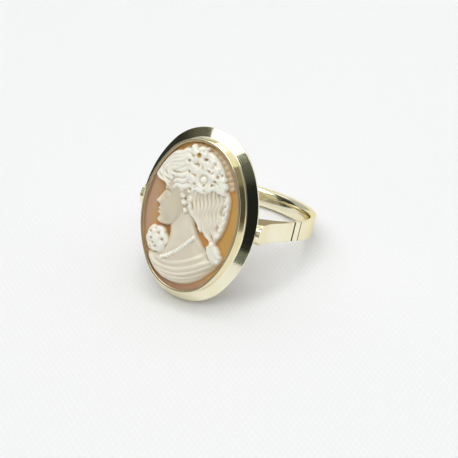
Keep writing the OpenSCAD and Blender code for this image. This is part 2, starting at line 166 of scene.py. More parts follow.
@dataclass(frozen=True)
class Oval:
    """An oval of four arcs on 3-4-5 triangles, given by its half width and half height."""

    half_x: float
    half_z: float

    @property
    def side_r(self) -> float:
        """Radius of the two long arcs."""
        return 2 * self.half_z - self.half_x

    @property
    def end_r(self) -> float:
        """Radius of the two short arcs."""
        return (3 * self.half_x - self.half_z) / 2

    def reach(self, angle: Array) -> Array:
        """Distance from the centre to the edge.

        Args:
            angle: Directions from the width, in radians.

        Returns:
            The distances in the same order.
        """
        across, along = np.abs(np.cos(angle)), np.abs(np.sin(angle))
        end_z = self.half_z - self.end_r
        corner = math.atan2(end_z + self.end_r * 0.6, self.end_r * 0.8)
        at_end = np.arctan2(along, across) > corner
        centre_x = np.where(at_end, 0.0, self.half_x - self.side_r)
        centre_z = np.where(at_end, end_z, 0.0)
        radius = np.where(at_end, self.end_r, self.side_r)
        lead = across * centre_x + along * centre_z
        return lead + np.sqrt(lead**2 - centre_x**2 - centre_z**2 + radius**2)

    def sweep(self, section: Sequence[Point], side_steps: int = 44, end_steps: int = 76) -> Mesh:
        """Spins a closed section round the oval.

        Args:
            section: Corners as distance outwards from the oval's edge and height.
            side_steps: Steps of each long arc.
            end_steps: Steps of each short arc.

        Returns:
            The closed ring as a new bmesh.
        """
        bm = bmesh.new()
        side_x, end_z = self.half_x - self.side_r, self.half_z - self.end_r
        start = Matrix.Translation((side_x, 0, 0)) @ Matrix.Rotation(-THREE_FOUR_FIVE, 4, "Z")
        verts = [bm.verts.new(start @ Vector((self.side_r + out, 0, high))) for out, high in section]
        edges = [bm.edges.new((verts[i - 1], verts[i])) for i in range(len(verts))]
        geom: list = verts + edges
        side_turn, end_turn = 2 * THREE_FOUR_FIVE, math.pi - 2 * THREE_FOUR_FIVE
        arcs = (
            ((side_x, 0, 0), side_turn, side_steps),
            ((0, end_z, 0), end_turn, end_steps),
            ((-side_x, 0, 0), side_turn, side_steps),
            ((0, -end_z, 0), end_turn, end_steps),
        )
        for centre, turn, steps in arcs:
            spun = bmesh.ops.spin(
                bm, geom=geom, cent=centre, axis=(0, 0, 1), dvec=(0, 0, 0), angle=turn,
                steps=steps, use_merge=False, use_normal_flip=False, use_duplicate=False,
            )
            geom = spun["geom_last"]
        bmesh.ops.remove_doubles(bm, verts=bm.verts, dist=1e-4)
        return bm


def soften_edges(
    bm: Mesh, width: float, segments: int = 3,
    chosen: Callable[[bmesh.types.BMEdge], bool] | None = None,
) -> None:
    """Rounds the sharp edges of a mesh.

    Args:
        bm: The mesh, in millimetres.
        width: Width of the rounding.
        segments: Number of faces across the rounding.
        chosen: Says which edges are rounded, or None for all that turn by more than 25 degrees.
    """
    bmesh.ops.recalc_face_normals(bm, faces=bm.faces)
    sharp = [e for e in bm.edges if len(e.link_faces) == 2 and e.calc_face_angle(0.0) > SHARP_TURN]
    edges = [e for e in sharp if chosen is None or chosen(e)]
    bmesh.ops.bevel(
        bm, geom=edges, offset=width, offset_type="OFFSET", segments=segments, profile=0.5,
        affect="EDGES", clamp_overlap=True, material=-1,
    )


def slice_faces(bm: Mesh, faces: Iterable[bmesh.types.BMFace], place: Vector, across: Vector) -> None:
    """Cuts some faces of a mesh along a plane and keeps both sides.

    Args:
        bm: The mesh.
        faces: The faces that are cut.
        place: A place on the plane.
        across: The plane's normal.
    """
    faces = list(faces)
    edges = dict.fromkeys(e for f in faces for e in f.edges)
    verts = dict.fromkeys(v for f in faces for v in f.verts)
    geom = [*faces, *edges, *verts]
    bmesh.ops.bisect_plane(bm, geom=geom, dist=1e-5, plane_co=place, plane_no=across)


def placed(name: str, data: bpy.types.ID) -> bpy.types.Object:
    """Makes an object from its data and links it into the scene."""
    thing = bpy.data.objects.new(name, data)
    bpy.context.collection.objects.link(thing)
    return thing


def even_normals(bm: Mesh, space: Matrix) -> list[Vector]:
    """Works out shading that keeps the broad faces of a piece flat between its rounded edges.

    Args:
        bm: The mesh, in millimetres.
        space: Matrix from there to its place in metres.

    Returns:
        A normal for each corner of each face, which follows the largest faces beside it.
    """
    bmesh.ops.recalc_face_normals(bm, faces=bm.faces)
    least = math.cos(BROAD_TURN)
    turn = space.to_3x3().normalized()
    pull = {face: face.normal * face.calc_area() ** 2 for face in bm.faces}
    normals = []
    for face in bm.faces:
        for vert in face.verts:
            near = [pull[other] for other in vert.link_faces if other.normal.dot(face.normal) > least]
            normals.append((turn @ sum(near, Vector())).normalized())
    return normals


@dataclass
class Workshop:
    """Turns finished meshes into named pieces of the ring."""

    pieces: list[bpy.types.Object] = field(default_factory=list)

    def finish(
        self, name: str, bm: Mesh, space: Matrix, material: bpy.types.Material,
        slot: Slot, node: Node, even: bool = False,
    ) -> bpy.types.Object:
        """Makes a piece from a mesh and ties it to the model.

        Args:
            name: Plain name of the piece.
            bm: Its mesh, which is freed.
            space: Matrix from the mesh's millimetres to its place in metres.
            material: Finish of the piece.
            slot: Slot of the record that the finish belongs to; not used.
            node: Node that the piece stands for.
            even: Whether its broad faces are shaded flat.

        Returns:
            The new object.
        """
        normals = even_normals(bm, space) if even else []
        bm.transform(space)
        bmesh.ops.recalc_face_normals(bm, faces=bm.faces)
        for face in bm.faces:
            face.smooth = True
        mesh = bpy.data.meshes.new(name)
        bm.to_mesh(mesh)
        bm.free()
        if even:
            mesh.normals_split_custom_set(normals)
        piece = placed(name, mesh)
        mesh.materials.append(material)
        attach(piece, "root")
        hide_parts(node.value)
        self.pieces.append(piece)
        LOG.info("%s: %d faces for %s", name, len(mesh.polygons), node.value)
        return piece


class Recipe:
    """A small helper that lays out shader nodes in a tree."""

    def __init__(self, tree: bpy.types.NodeTree) -> None:
        """Starts on an empty tree."""
        self.tree = tree
        tree.nodes.clear()

    @classmethod
    def of(cls, owner: bpy.types.Material | bpy.types.World) -> "Recipe":
        """Starts on the nodes of a material or a world."""
        owner.use_nodes = True
        return cls(owner.node_tree)

    def add(self, kind: str, settings: dict | None = None, **inputs: object) -> bpy.types.Node:
        """Adds a node.

        Args:
            kind: Node type, without its leading ShaderNode.
            settings: Attributes of the node to set.
            inputs: Values or sockets by input name, with spaces as underscores, or by number as n0, n1.

        Returns:
            The new node.
        """
        node = self.tree.nodes.new("ShaderNode" + kind)
        for key, value in (settings or {}).items():
            setattr(node, key, value)
        for key, value in inputs.items():
            socket = node.inputs[int(key[1:]) if key[1:].isdigit() else key.replace("_", " ")]
            if isinstance(value, Socket):
                self.tree.links.new(value, socket)
            else:
                socket.default_value = value
        return node

    def math(
        self, operation: str, first: object, second: object = 0.0, third: object = 0.0, clamp: bool = False,
    ) -> Socket:
        """Adds a sum of one, two or three values.

        Args:
            operation: Name of the sum.
            first: First value or socket.
            second: Second value or socket.
            third: Third value or socket.
            clamp: Whether the result is kept between 0 and 1.

        Returns:
            The result's socket.
        """
        node = self.add("Math", {"operation": operation, "use_clamp": clamp}, n0=first, n1=second, n2=third)
        return node.outputs[0]

    def times(self, first: object, second: object, plus: object = None) -> Socket:
        """Multiplies two values and adds a third one, if it is given."""
        if plus is None:
            return self.math("MULTIPLY", first, second)
        return self.math("MULTIPLY_ADD", first, second, plus)

    def layered(self, colour: object, *layers: tuple[object, object]) -> Socket:
        """Lays colours over one another.

        Args:
            colour: First colour or socket.
            layers: Share and colour of each further layer, in order.

        Returns:
            The mixed colour's socket.
        """
        for share, over in layers:
            node = self.add("Mix", {"data_type": "RGBA"}, n0=share, n6=colour, n7=over)
            colour = node.outputs[2]
        return colour

    def band(self, value: object, low: float, high: float) -> Socket:
        """Rises smoothly from 0 to 1 between two values.

        Args:
            value: The value or socket.
            low: Where the rise starts.
            high: Where it ends.

        Returns:
            The result's socket.
        """
        node = self.add(
            "MapRange", {"interpolation_type": "SMOOTHSTEP"},
            Value=value, From_Min=low, From_Max=high, To_Min=0.0, To_Max=1.0,
        )
        return node.outputs[0]

    def noise(self, where: Socket, scale: float, detail: float = 3.0, twist: float = 0.0) -> Socket:
        """Adds cloudy noise.

        Args:
            where: Coordinates.
            scale: Number of clouds to a unit.
            detail: Number of finer layers.
            twist: How far the clouds are distorted.

        Returns:
            The noise's value.
        """
        node = self.add("TexNoise", Vector=where, Scale=scale, Detail=detail, Distortion=twist)
        return node.outputs["Fac"]

    def laid(self, space: Matrix) -> Socket:
        """Gives the object's coordinates in the millimetres of an upright part of the ring."""
        where = self.add("TexCoord").outputs["Object"]
        turn = space.inverted().to_euler()
        return self.add("Mapping", Vector=where, Rotation=turn, Scale=(1 / MM,) * 3).outputs[0]


def handling_group() -> bpy.types.NodeTree:
    """Builds the shared group for the faint marks that handling leaves.

    Returns:
        The group, with the marks' height and a slow patchiness as its outputs.
    """
    tree = bpy.data.node_groups.new("handling_marks", "ShaderNodeTree")
    for name, way in (("Scale", "INPUT"), ("Height", "OUTPUT"), ("Patches", "OUTPUT")):
        tree.interface.new_socket(name, in_out=way, socket_type="NodeSocketFloat")
    recipe = Recipe(tree)
    given = tree.nodes.new("NodeGroupInput")
    result = tree.nodes.new("NodeGroupOutput")
    where = recipe.add("TexCoord").outputs["Object"]
    scale = given.outputs["Scale"]
    scaled = recipe.add("VectorMath", {"operation": "SCALE"}, n0=where, Scale=scale).outputs[0]
    scratches = recipe.band(recipe.noise(scaled, 3.1, 2.0, 0.6), 0.62, 0.70)
    height = recipe.times(scratches, -0.6, recipe.noise(scaled, 1.0, 4.0))
    tree.links.new(height, result.inputs["Height"])
    tree.links.new(recipe.noise(where, 420.0, 2.0), result.inputs["Patches"])
    return tree


@dataclass(frozen=True)
class GoldFinish:
    """Yellow gold with a polish of its own."""

    name: str
    colour: Colour = (0.93, 0.885, 0.69, 1.0)
    deep: Colour = (0.91, 0.85, 0.61, 1.0)
    glancing: Colour = (1.0, 1.0, 1.0, 1.0)
    roughness: float = 0.04
    spread: float = 0.035
    marks: float = 0.015
    marks_scale: float = 9000.0
    marks_strength: float = 0.12

    def build(self, handling: bpy.types.NodeTree) -> bpy.types.Material:
        """Builds the material.

        Args:
            handling: The shared group of handling marks.

        Returns:
            The new material.
        """
        material = bpy.data.materials.new(self.name)
        recipe = Recipe.of(material)
        marks = recipe.add("Group", {"node_tree": handling}, Scale=self.marks_scale)
        patches = recipe.band(marks.outputs["Patches"], 0.35, 0.65)
        colour = recipe.layered(self.colour, (patches, self.deep))
        colour, rough = self.wear(recipe, colour, recipe.times(patches, self.spread, self.roughness))
        bump = recipe.add(
            "Bump", Strength=self.marks_strength, Distance=self.marks * MM, Height=marks.outputs["Height"],
        )
        shader = recipe.add(
            "BsdfPrincipled", Metallic=1.0, Base_Color=colour, Roughness=rough, Normal=bump.outputs[0],
            Specular_Tint=self.glancing,
        )
        recipe.add("OutputMaterial", Surface=shader.outputs[0])
        return material

    def wear(self, recipe: Recipe, colour: Socket, rough: Socket) -> tuple[Socket, Socket]:
        """Leaves the colour and the roughness as they are."""
        return colour, rough


@dataclass(frozen=True)
class BandGold(GoldFinish):
    """Gold of the band, with a painted reflection of darker gold on its sides by the head and painted shade
    in its grooves.
    """

    sizes: RingSizes = RingSizes()
    # Painted reflection: darker, speckled gold on the shoulders' sides, where they mirror the gold round
    # them.
    reflected_brown: Colour = (0.42, 0.34, 0.20, 1.0)
    reflected_speck: Colour = (0.31, 0.245, 0.135, 1.0)
    # Painted shade in the grooves.
    groove_shade: Colour = (0.04, 0.035, 0.01, 1.0)
    glancing: Colour = (0.94, 0.87, 0.66, 1.0)
    reflected_brown_from: float = -2.7
    reflected_brown_to: float = -4.2

    def wear(self, recipe: Recipe, colour: Socket, rough: Socket) -> tuple[Socket, Socket]:
        """Adds a painted reflection of darker, speckled gold and a rougher finish to the sides, painted shade
        to the grooves and a softer shine to the bore.

        Args:
            recipe: The material's nodes.
            colour: Colour of the clean gold.
            rough: Its roughness.

        Returns:
            The new colour and roughness.
        """
        s = self.sizes
        laid = recipe.laid(s.ring_space)
        x, y, z = recipe.add("SeparateXYZ", Vector=laid).outputs
        # Painted reflection of the darker gold round them on the flat sides near the head, which are also
        # made rougher.
        side_reflection = recipe.band(recipe.math("ABSOLUTE", z), s.band_w / 2 - 0.03, s.band_w / 2 - 0.003)
        side_reflection = recipe.times(side_reflection, recipe.band(y, self.reflected_brown_from, self.reflected_brown_to))
        reflected_specks = recipe.band(recipe.noise(laid, 7.0), 0.42, 0.64)
        colour = recipe.layered(colour, (side_reflection, recipe.layered(self.reflected_brown, (reflected_specks, self.reflected_speck))))
        rough = recipe.times(side_reflection, 0.3, rough)
        # Painted shade darkens each groove, the narrow one less, and makes it a little rougher.
        for middle, width, share in (
            (s.groove_wide_y, s.groove_wide, 1.0), (s.groove_narrow_y, s.groove_narrow, 0.8),
        ):
            away = recipe.math("ABSOLUTE", recipe.math("ADD", y, middle))
            groove = recipe.times(recipe.band(away, width / 2 + 0.04, width / 2), share)
            colour = recipe.layered(colour, (groove, self.groove_shade))
            rough = recipe.times(groove, 0.4, rough)
        far = recipe.math("SQRT", recipe.times(x, x, recipe.times(y, y)))
        bore = recipe.band(far, s.finger_r + 0.3, s.finger_r + 0.05)
        return colour, recipe.times(bore, 0.05, rough)


@dataclass(frozen=True)
class ShellFinish:
    """Carved shell: a white layer over amber, cut through to the ground."""

    name: str = "carved_shell"
    ivory: Colour = (0.72, 0.65, 0.51, 1.0)
    bright: Colour = (0.99, 0.96, 0.86, 1.0)
    # Honey: the amber through the thin white at the carving's low edges, and painted shade in its hollows.
    honey: Colour = (0.62, 0.52, 0.30, 1.0)
    amber: Colour = (0.66, 0.45, 0.14, 1.0)
    # Russet: the ground's own colour towards the bottom, and the painted shadow of the lip along the edge.
    russet: Colour = (0.49, 0.30, 0.24, 1.0)
    blush: Colour = (0.56, 0.39, 0.32, 1.0)
    # Orange: the shell's own growth bands, and painted shade on the ground close beside the carving.
    orange: Colour = (0.70, 0.25, 0.07, 1.0)
    # Umber: painted shade on the ground right beside the carving.
    umber: Colour = (0.34, 0.12, 0.04, 1.0)
    back: Colour = (0.88, 0.78, 0.64, 1.0)
    back_from: float = 10.1

    def colour(self, recipe: Recipe, laid: Socket) -> Socket:
        """Mixes the colours of the ground, the white layer and the back, with painted shade beside the
        carving and in its hollows, painted highlights on its crests and a painted shadow along its edge.

        Args:
            recipe: The material's nodes.
            laid: Coordinates in the head's millimetres.

        Returns:
            The mixed colour.
        """
        across, along, height = recipe.add("SeparateXYZ", Vector=laid).outputs
        relief, hollow, crest_highlight, amber, shade, beside, edge_shadow = (
            recipe.add("Attribute", {"attribute_name": mark.value}).outputs["Fac"] for mark in Mark
        )
        growth = recipe.add(
            "TexWave", {"bands_direction": "DIAGONAL"}, Vector=laid, Scale=1.1, Distortion=5.0, Detail=3.0,
            Detail_Scale=0.6,
        ).outputs["Fac"]
        clouds = recipe.noise(laid, 0.45, 4.0)
        low_end = recipe.band(recipe.times(clouds, 3.0, along), -3.5, -7.5)
        left = recipe.band(recipe.times(clouds, 2.0, across), -1.5, -5.0)
        edge = recipe.times(clouds, 0.03, relief)
        thin = recipe.math("SUBTRACT", 1.0, recipe.band(edge, 0.12, 0.42))
        ground = recipe.layered(
            self.amber,
            (recipe.times(growth, 0.35), self.orange),
            (recipe.times(left, 0.75), self.blush),
            (recipe.times(low_end, 0.8), self.russet),
            # Painted shade: the ground turns orange, more so on the left, and then umber close beside the
            # carving.
            (recipe.times(recipe.band(beside, 0.2, 0.62), recipe.times(left, 0.45, 0.4)), self.orange),
            (recipe.times(recipe.band(beside, 0.6, 0.85), 0.75), self.umber),
        )
        white = recipe.layered(
            self.bright,
            # Painted highlight: crests keep the bright white instead of their tone.
            (recipe.math("SUBTRACT", shade, recipe.times(crest_highlight, 0.6), clamp=True), self.ivory),
            (recipe.times(clouds, 0.2), self.ivory),
            # Painted shade: hollows turn honey.
            (recipe.times(recipe.band(hollow, 0.2, 1.0), 0.7), self.honey),
            (recipe.times(thin, 0.45), self.honey),
        )
        return recipe.layered(
            ground,
            (recipe.band(edge, 0.02, 0.20), white),
            (recipe.times(amber, 0.9), self.amber),
            # Painted shadow of the lip along the edge, stronger towards the bottom.
            (recipe.times(edge_shadow, recipe.times(low_end, 0.4, 0.15)), self.russet),
            (recipe.band(height, self.back_from + 0.3, self.back_from), self.back),
        )

    def build(self, handling: bpy.types.NodeTree, space: Matrix) -> bpy.types.Material:
        """Builds the material.

        Args:
            handling: The shared group of handling marks.
            space: Matrix from the head's millimetres to its place in metres.

        Returns:
            The new material.
        """
        material = bpy.data.materials.new(self.name)
        recipe = Recipe.of(material)
        marks = recipe.add("Group", {"node_tree": handling}, Scale=5000.0)
        rough = recipe.times(marks.outputs["Patches"], 0.16, 0.26)
        bump = recipe.add("Bump", Strength=0.25, Distance=0.02 * MM, Height=marks.outputs["Height"])
        shader = recipe.add(
            "BsdfPrincipled", Base_Color=self.colour(recipe, recipe.laid(space)), Roughness=rough,
            Normal=bump.outputs[0], IOR=1.53, Subsurface_Weight=0.8, Subsurface_Radius=(1.0, 0.9, 0.75),
            Subsurface_Scale=0.4 * MM,
        )
        recipe.add("OutputMaterial", Surface=shader.outputs[0])
        return material


@dataclass
class Head:
    """The bezel, its flange, the cameo's seat and the gallery under it."""

    sizes: RingSizes
    rounding: float = 0.05
    top_rounding: float = 0.09
    rim_rounding: float = 0.28
    gallery_rounding: float = 0.03

    @property
    def pocket(self) -> Oval:
        """The oval that all four follow."""
        return Oval(self.sizes.pocket_x, self.sizes.pocket_z)

    def bezel(self) -> Mesh:
        """Builds the upright wall with its lip over the cameo."""
        s = self.sizes
        bm = self.pocket.sweep([
            (0.0, s.seat_top), (s.wall_t, s.seat_top), (s.wall_t + 0.17, s.foot - 0.07),
            (s.wall_t + 0.09, s.foot - 0.015), (s.wall_t + 0.03, s.foot + 0.05), (s.wall_t, s.foot + 0.15),
            (s.wall_t, s.bezel_top), (-s.lip_w, s.bezel_top), (-s.lip_w, s.lip_under), (0.0, s.lip_under),
        ])

        def is_top(edge: bmesh.types.BMEdge, outer: bool) -> bool:
            """Whether an edge belongs to the outer or inner edge of the wall's top."""
            middle = (edge.verts[0].co + edge.verts[1].co) / 2
            reach = float(self.pocket.reach(np.array([math.atan2(middle.y, middle.x)]))[0])
            return middle.z > s.bezel_top - 0.01 and (middle.xy.length > reach) == outer

        soften_edges(bm, self.top_rounding, 5, lambda e: is_top(e, True))
        soften_edges(bm, self.rounding, 3, lambda e: is_top(e, False))
        return bm

    def flange(self) -> Mesh:
        """Builds the broad plate that slopes down all round."""
        s = self.sizes
        bm = self.pocket.sweep([
            (s.soldered, s.foot + 0.02), (s.wall_t, s.foot), (s.rim_out, s.rim_top),
            (s.rim_out, s.rim_under), (s.soldered, s.seat_under),
        ])
        low, high = s.rim_under - 0.01, s.rim_under + 0.01
        soften_edges(bm, self.rim_rounding, 5, lambda e: all(low < v.co.z < high for v in e.verts))
        soften_edges(bm, self.rounding, 3, lambda e: all(v.co.z > high for v in e.verts))
        return bm

    def gallery(self) -> Mesh:
        """Builds the seat and the wall under it, cut back for the finger."""
        s = self.sizes
        bm = self.pocket.sweep([
            (s.soldered, s.seat_top), (-s.seat_w, s.seat_top), (-s.seat_w, s.seat_under),
            (s.soldered - s.gallery_t, s.seat_under), (s.soldered - s.gallery_t, s.gallery_low),
            (s.soldered, s.gallery_low),
        ])
        clear = s.finger_r + s.finger_room
        for vert in bm.verts:
            arch = math.sqrt(max(clear**2 - vert.co.x**2, 0.0))
            if vert.co.z < s.seat_under - 0.05:
                vert.co.z = min(max(vert.co.z, arch), s.seat_under - 0.02)
        soften_edges(bm, self.gallery_rounding)
        return bm


@dataclass
class Band:
    """The band with its two flat shoulders, their grooves and their rounded tips."""

    sizes: RingSizes
    rounding: float = 0.07
    arc_steps: int = 96
    flank_steps: int = 14
    tip_block: float = 9.1
    tip_cuts: int = 10
    bore_cuts: int = 4

    def flank_start(self) -> tuple[float, float]:
        """Place where the right flank leaves the round, in the upright ring.

        Returns:
            Across and towards the back.
        """
        s = self.sizes
        rise = s.shoulder_y + s.band_shift
        far = math.hypot(s.shoulder_x, rise)
        turn = math.acos(s.band_r / far) - math.atan2(rise, s.shoulder_x)
        return s.band_r * math.cos(turn), s.band_shift + s.band_r * math.sin(turn)

    def flared(self, y: float) -> float:
        """Half of the distance across the shoulders where they flare, at a place towards the back."""
        s = self.sizes
        return s.shoulder_x + (s.tip_x - s.shoulder_x) * (-y - s.shoulder_y) / (s.tip_end - s.shoulder_y)

    def chain(self, bm: Mesh, places: Iterable[Point]) -> list[bmesh.types.BMEdge]:
        """Joins places in the ring's plane by edges.

        Args:
            bm: The mesh they go into.
            places: The places in order.

        Returns:
            The new edges.
        """
        low = -self.sizes.band_w / 2
        verts = [bm.verts.new((x, y, low)) for x, y in places]
        return [bm.edges.new(pair) for pair in zip(verts, verts[1:])]

    def arc(self, centre_y: float, radius: float, start: float, end: float, steps: int) -> list[Point]:
        """Places along an arc round the finger.

        Args:
            centre_y: Place of its centre towards the back.
            radius: Its radius.
            start: Angle of its first place.
            end: Angle of its last place.
            steps: Number of steps.

        Returns:
            The places in order.
        """
        turns = [start + (end - start) * i / steps for i in range(steps + 1)]
        return [(radius * math.cos(a), centre_y + radius * math.sin(a)) for a in turns]

    def outer_line(self) -> list[Point]:
        """Places along the outside, from the right tip over the back to the left tip.

        Returns:
            The places in order.
        """
        s = self.sizes
        start_x, start_y = self.flank_start()
        steps = self.flank_steps
        levels = (-s.tip_end, -self.tip_block, -8.6, -7.9, -s.shoulder_y)
        flare = [(self.flared(y), y) for y in levels]
        straight = [
            (s.shoulder_x + (start_x - s.shoulder_x) * k / (steps - 2),
             -s.shoulder_y + (start_y + s.shoulder_y) * k / (steps - 2))
            for k in range(1, steps - 2)
        ]
        begin = math.atan2(start_y - s.band_shift, start_x)
        back = self.arc(s.band_shift, s.band_r, begin, math.pi - begin, self.arc_steps)
        right = flare + straight
        return right + back + [(-x, y) for x, y in reversed(right)]

    def inner_line(self) -> list[Point]:
        """Places along the bore, from the right side of the opening to the left.

        Returns:
            The places in order.
        """
        s = self.sizes
        start_x, start_y = self.flank_start()
        mouth = -math.acos(s.open_x / s.finger_r)
        bend = math.atan2(start_y, start_x)
        seat_x = s.pocket_x + s.soldered / 2
        step = [(seat_x, -s.tip_end), (seat_x, -self.tip_block), (s.open_x, -self.tip_block)]
        right = step + self.arc(0.0, s.finger_r, mouth, bend, self.flank_steps - 1)[:-1]
        back = self.arc(0.0, s.finger_r, bend, math.pi - bend, self.arc_steps)
        return right + back + [(-x, y) for x, y in reversed(right)]

    def plate(self) -> Mesh:
        """Builds the closed band with square edges."""
        s = self.sizes
        bm = bmesh.new()
        edges = self.chain(bm, self.outer_line()) + self.chain(bm, self.inner_line())
        bmesh.ops.bridge_loops(bm, edges=edges)
        grown = bmesh.ops.extrude_face_region(bm, geom=list(bm.faces))
        top = [v for v in grown["geom"] if isinstance(v, bmesh.types.BMVert)]
        bmesh.ops.translate(bm, verts=top, vec=(0, 0, s.band_w))
        bmesh.ops.recalc_face_normals(bm, faces=bm.faces)
        return bm

    def cut_grooves(self, bm: Mesh) -> None:
        """Presses the two grooves into the outer face of each shoulder.

        Args:
            bm: The band's mesh.
        """
        s = self.sizes
        for middle, width in ((s.groove_wide_y, s.groove_wide), (s.groove_narrow_y, s.groove_narrow)):
            low, high = -middle - width / 2, -middle + width / 2
            for y in (low, high):
                slice_faces(bm, bm.faces, Vector((0, y, 0)), Vector((0, 1, 0)))
            faces = [
                f for f in bm.faces
                if low < f.calc_center_median().y < high and abs(f.normal.z) < 0.5
                and f.normal.x * f.calc_center_median().x > 0
            ]
            pushed = bmesh.ops.extrude_face_region(bm, geom=faces)
            for vert in (v for v in pushed["geom"] if isinstance(v, bmesh.types.BMVert)):
                vert.co.x -= math.copysign(s.groove_depth, vert.co.x)
            bmesh.ops.delete(bm, geom=faces, context="FACES")
            bmesh.ops.recalc_face_normals(bm, faces=bm.faces)

    def ease_bore(self, bm: Mesh) -> None:
        """Rounds both edges of the bore, for comfort.

        Args:
            bm: The band's mesh.
        """
        s = self.sizes

        def on_bore(edge: bmesh.types.BMEdge) -> bool:
            """Whether an edge runs along the bore at one of its ends."""
            return all(
                abs(v.co.xy.length - s.finger_r) < 0.02 and abs(v.co.z) > s.band_w / 2 - 0.01
                for v in edge.verts
            )

        soften_edges(bm, s.inner_bevel, 6, on_bore)
        self.swell_bore(bm)

    def swell_bore(self, bm: Mesh) -> None:
        """Swells the bore between its eased edges, so that it slips over the finger.

        Args:
            bm: The band's mesh.
        """
        s = self.sizes
        half = s.band_w / 2
        edge_r = s.finger_r + s.inner_bevel + 0.001
        for k in range(1 - self.bore_cuts, self.bore_cuts):
            place = Vector((0, 0, (half - s.inner_bevel) * k / self.bore_cuts))
            faces = [f for f in bm.faces if all(v.co.xy.length < s.finger_r + 0.02 for v in f.verts)]
            slice_faces(bm, faces, place, Vector((0, 0, 1)))
        bmesh.ops.recalc_face_normals(bm, faces=bm.faces)
        faces = [
            f for f in bm.faces
            if all(v.co.xy.length < edge_r for v in f.verts)
            and f.normal.xy.dot(f.calc_center_median().xy) < -0.01
        ]
        for vert in {v for f in faces for v in f.verts}:
            far = s.finger_r + s.inner_bevel * (1 - math.sqrt(max(1 - (vert.co.z / half) ** 2, 0.0)))
            vert.co.xy = vert.co.xy * (far / vert.co.xy.length)

    def round_tips(self, bm: Mesh) -> None:
        """Rounds the ends of the shoulders about a line across the ring.

        Args:
            bm: The band's mesh.
        """
        s = self.sizes
        for k in range(1, self.tip_cuts):
            faces = [f for f in bm.faces if f.calc_center_median().y < -self.tip_block]
            place = Vector((0, 0, s.band_w * (k / self.tip_cuts - 0.5)))
            slice_faces(bm, faces, place, Vector((0, 0, 1)))
        for vert in bm.verts:
            if vert.co.y < -self.tip_block - 0.01:
                vert.co.y = s.tip_r - s.tip_end - math.sqrt(s.tip_r**2 - vert.co.z**2)
                if abs(vert.co.x) > s.shoulder_x - 0.1:
                    vert.co.x = math.copysign(self.flared(vert.co.y), vert.co.x)

    def build(self) -> Mesh:
        """Builds the finished band."""
        bm = self.plate()
        self.cut_grooves(bm)
        self.ease_bore(bm)
        self.round_tips(bm)
        soften_edges(bm, self.rounding)
        return bm


def smooth_line(places: Sequence[Point], steps: int = 8, closed: bool = False) -> Array:
    """Bends a smooth line through a few places.

    Args:
        places: The places in order.
        steps: Number of pieces between two places.
        closed: Whether the line returns to its start.

    Returns:
        The line's points.
    """
    p = np.asarray(places, float)
    ends = (p[-1:], p[:2]) if closed else (2 * p[:1] - p[1:2], 2 * p[-1:] - p[-2:-1])
    q = np.vstack([ends[0], p, ends[1]])
    t = np.linspace(0, 1, steps, endpoint=False)[:, None]
    pieces = [
        0.5 * (2 * b + (c - a) * t + (2 * a - 5 * b + 4 * c - d) * t**2 + (3 * b - a - 3 * c + d) * t**3)
        for a, b, c, d in zip(q[:-3], q[1:-2], q[2:-1], q[3:])
    ]
    return np.vstack(pieces + ([] if closed else [p[-1:]]))


def ease(low: float, high: float, value: Array) -> Array:
    """Rises smoothly from 0 to 1 between two values.

    Args:
        low: Where the rise starts, which may be the larger.
        high: Where it ends.
        value: The values.

    Returns:
        The eased values.
    """
    t = np.clip((value - low) / (high - low), 0, 1)
    return t * t * (3 - 2 * t)


def quarter_round(gap: Array, width: float) -> Array:
    """Rises like a quarter of a circle.

    Args:
        gap: Distances in from an edge.
        width: Width of the round.

    Returns:
        Values from 0 at the edge to 1.
    """
    t = np.clip(gap / width, 0, 1)
    return np.sqrt(1 - (1 - t) ** 2)


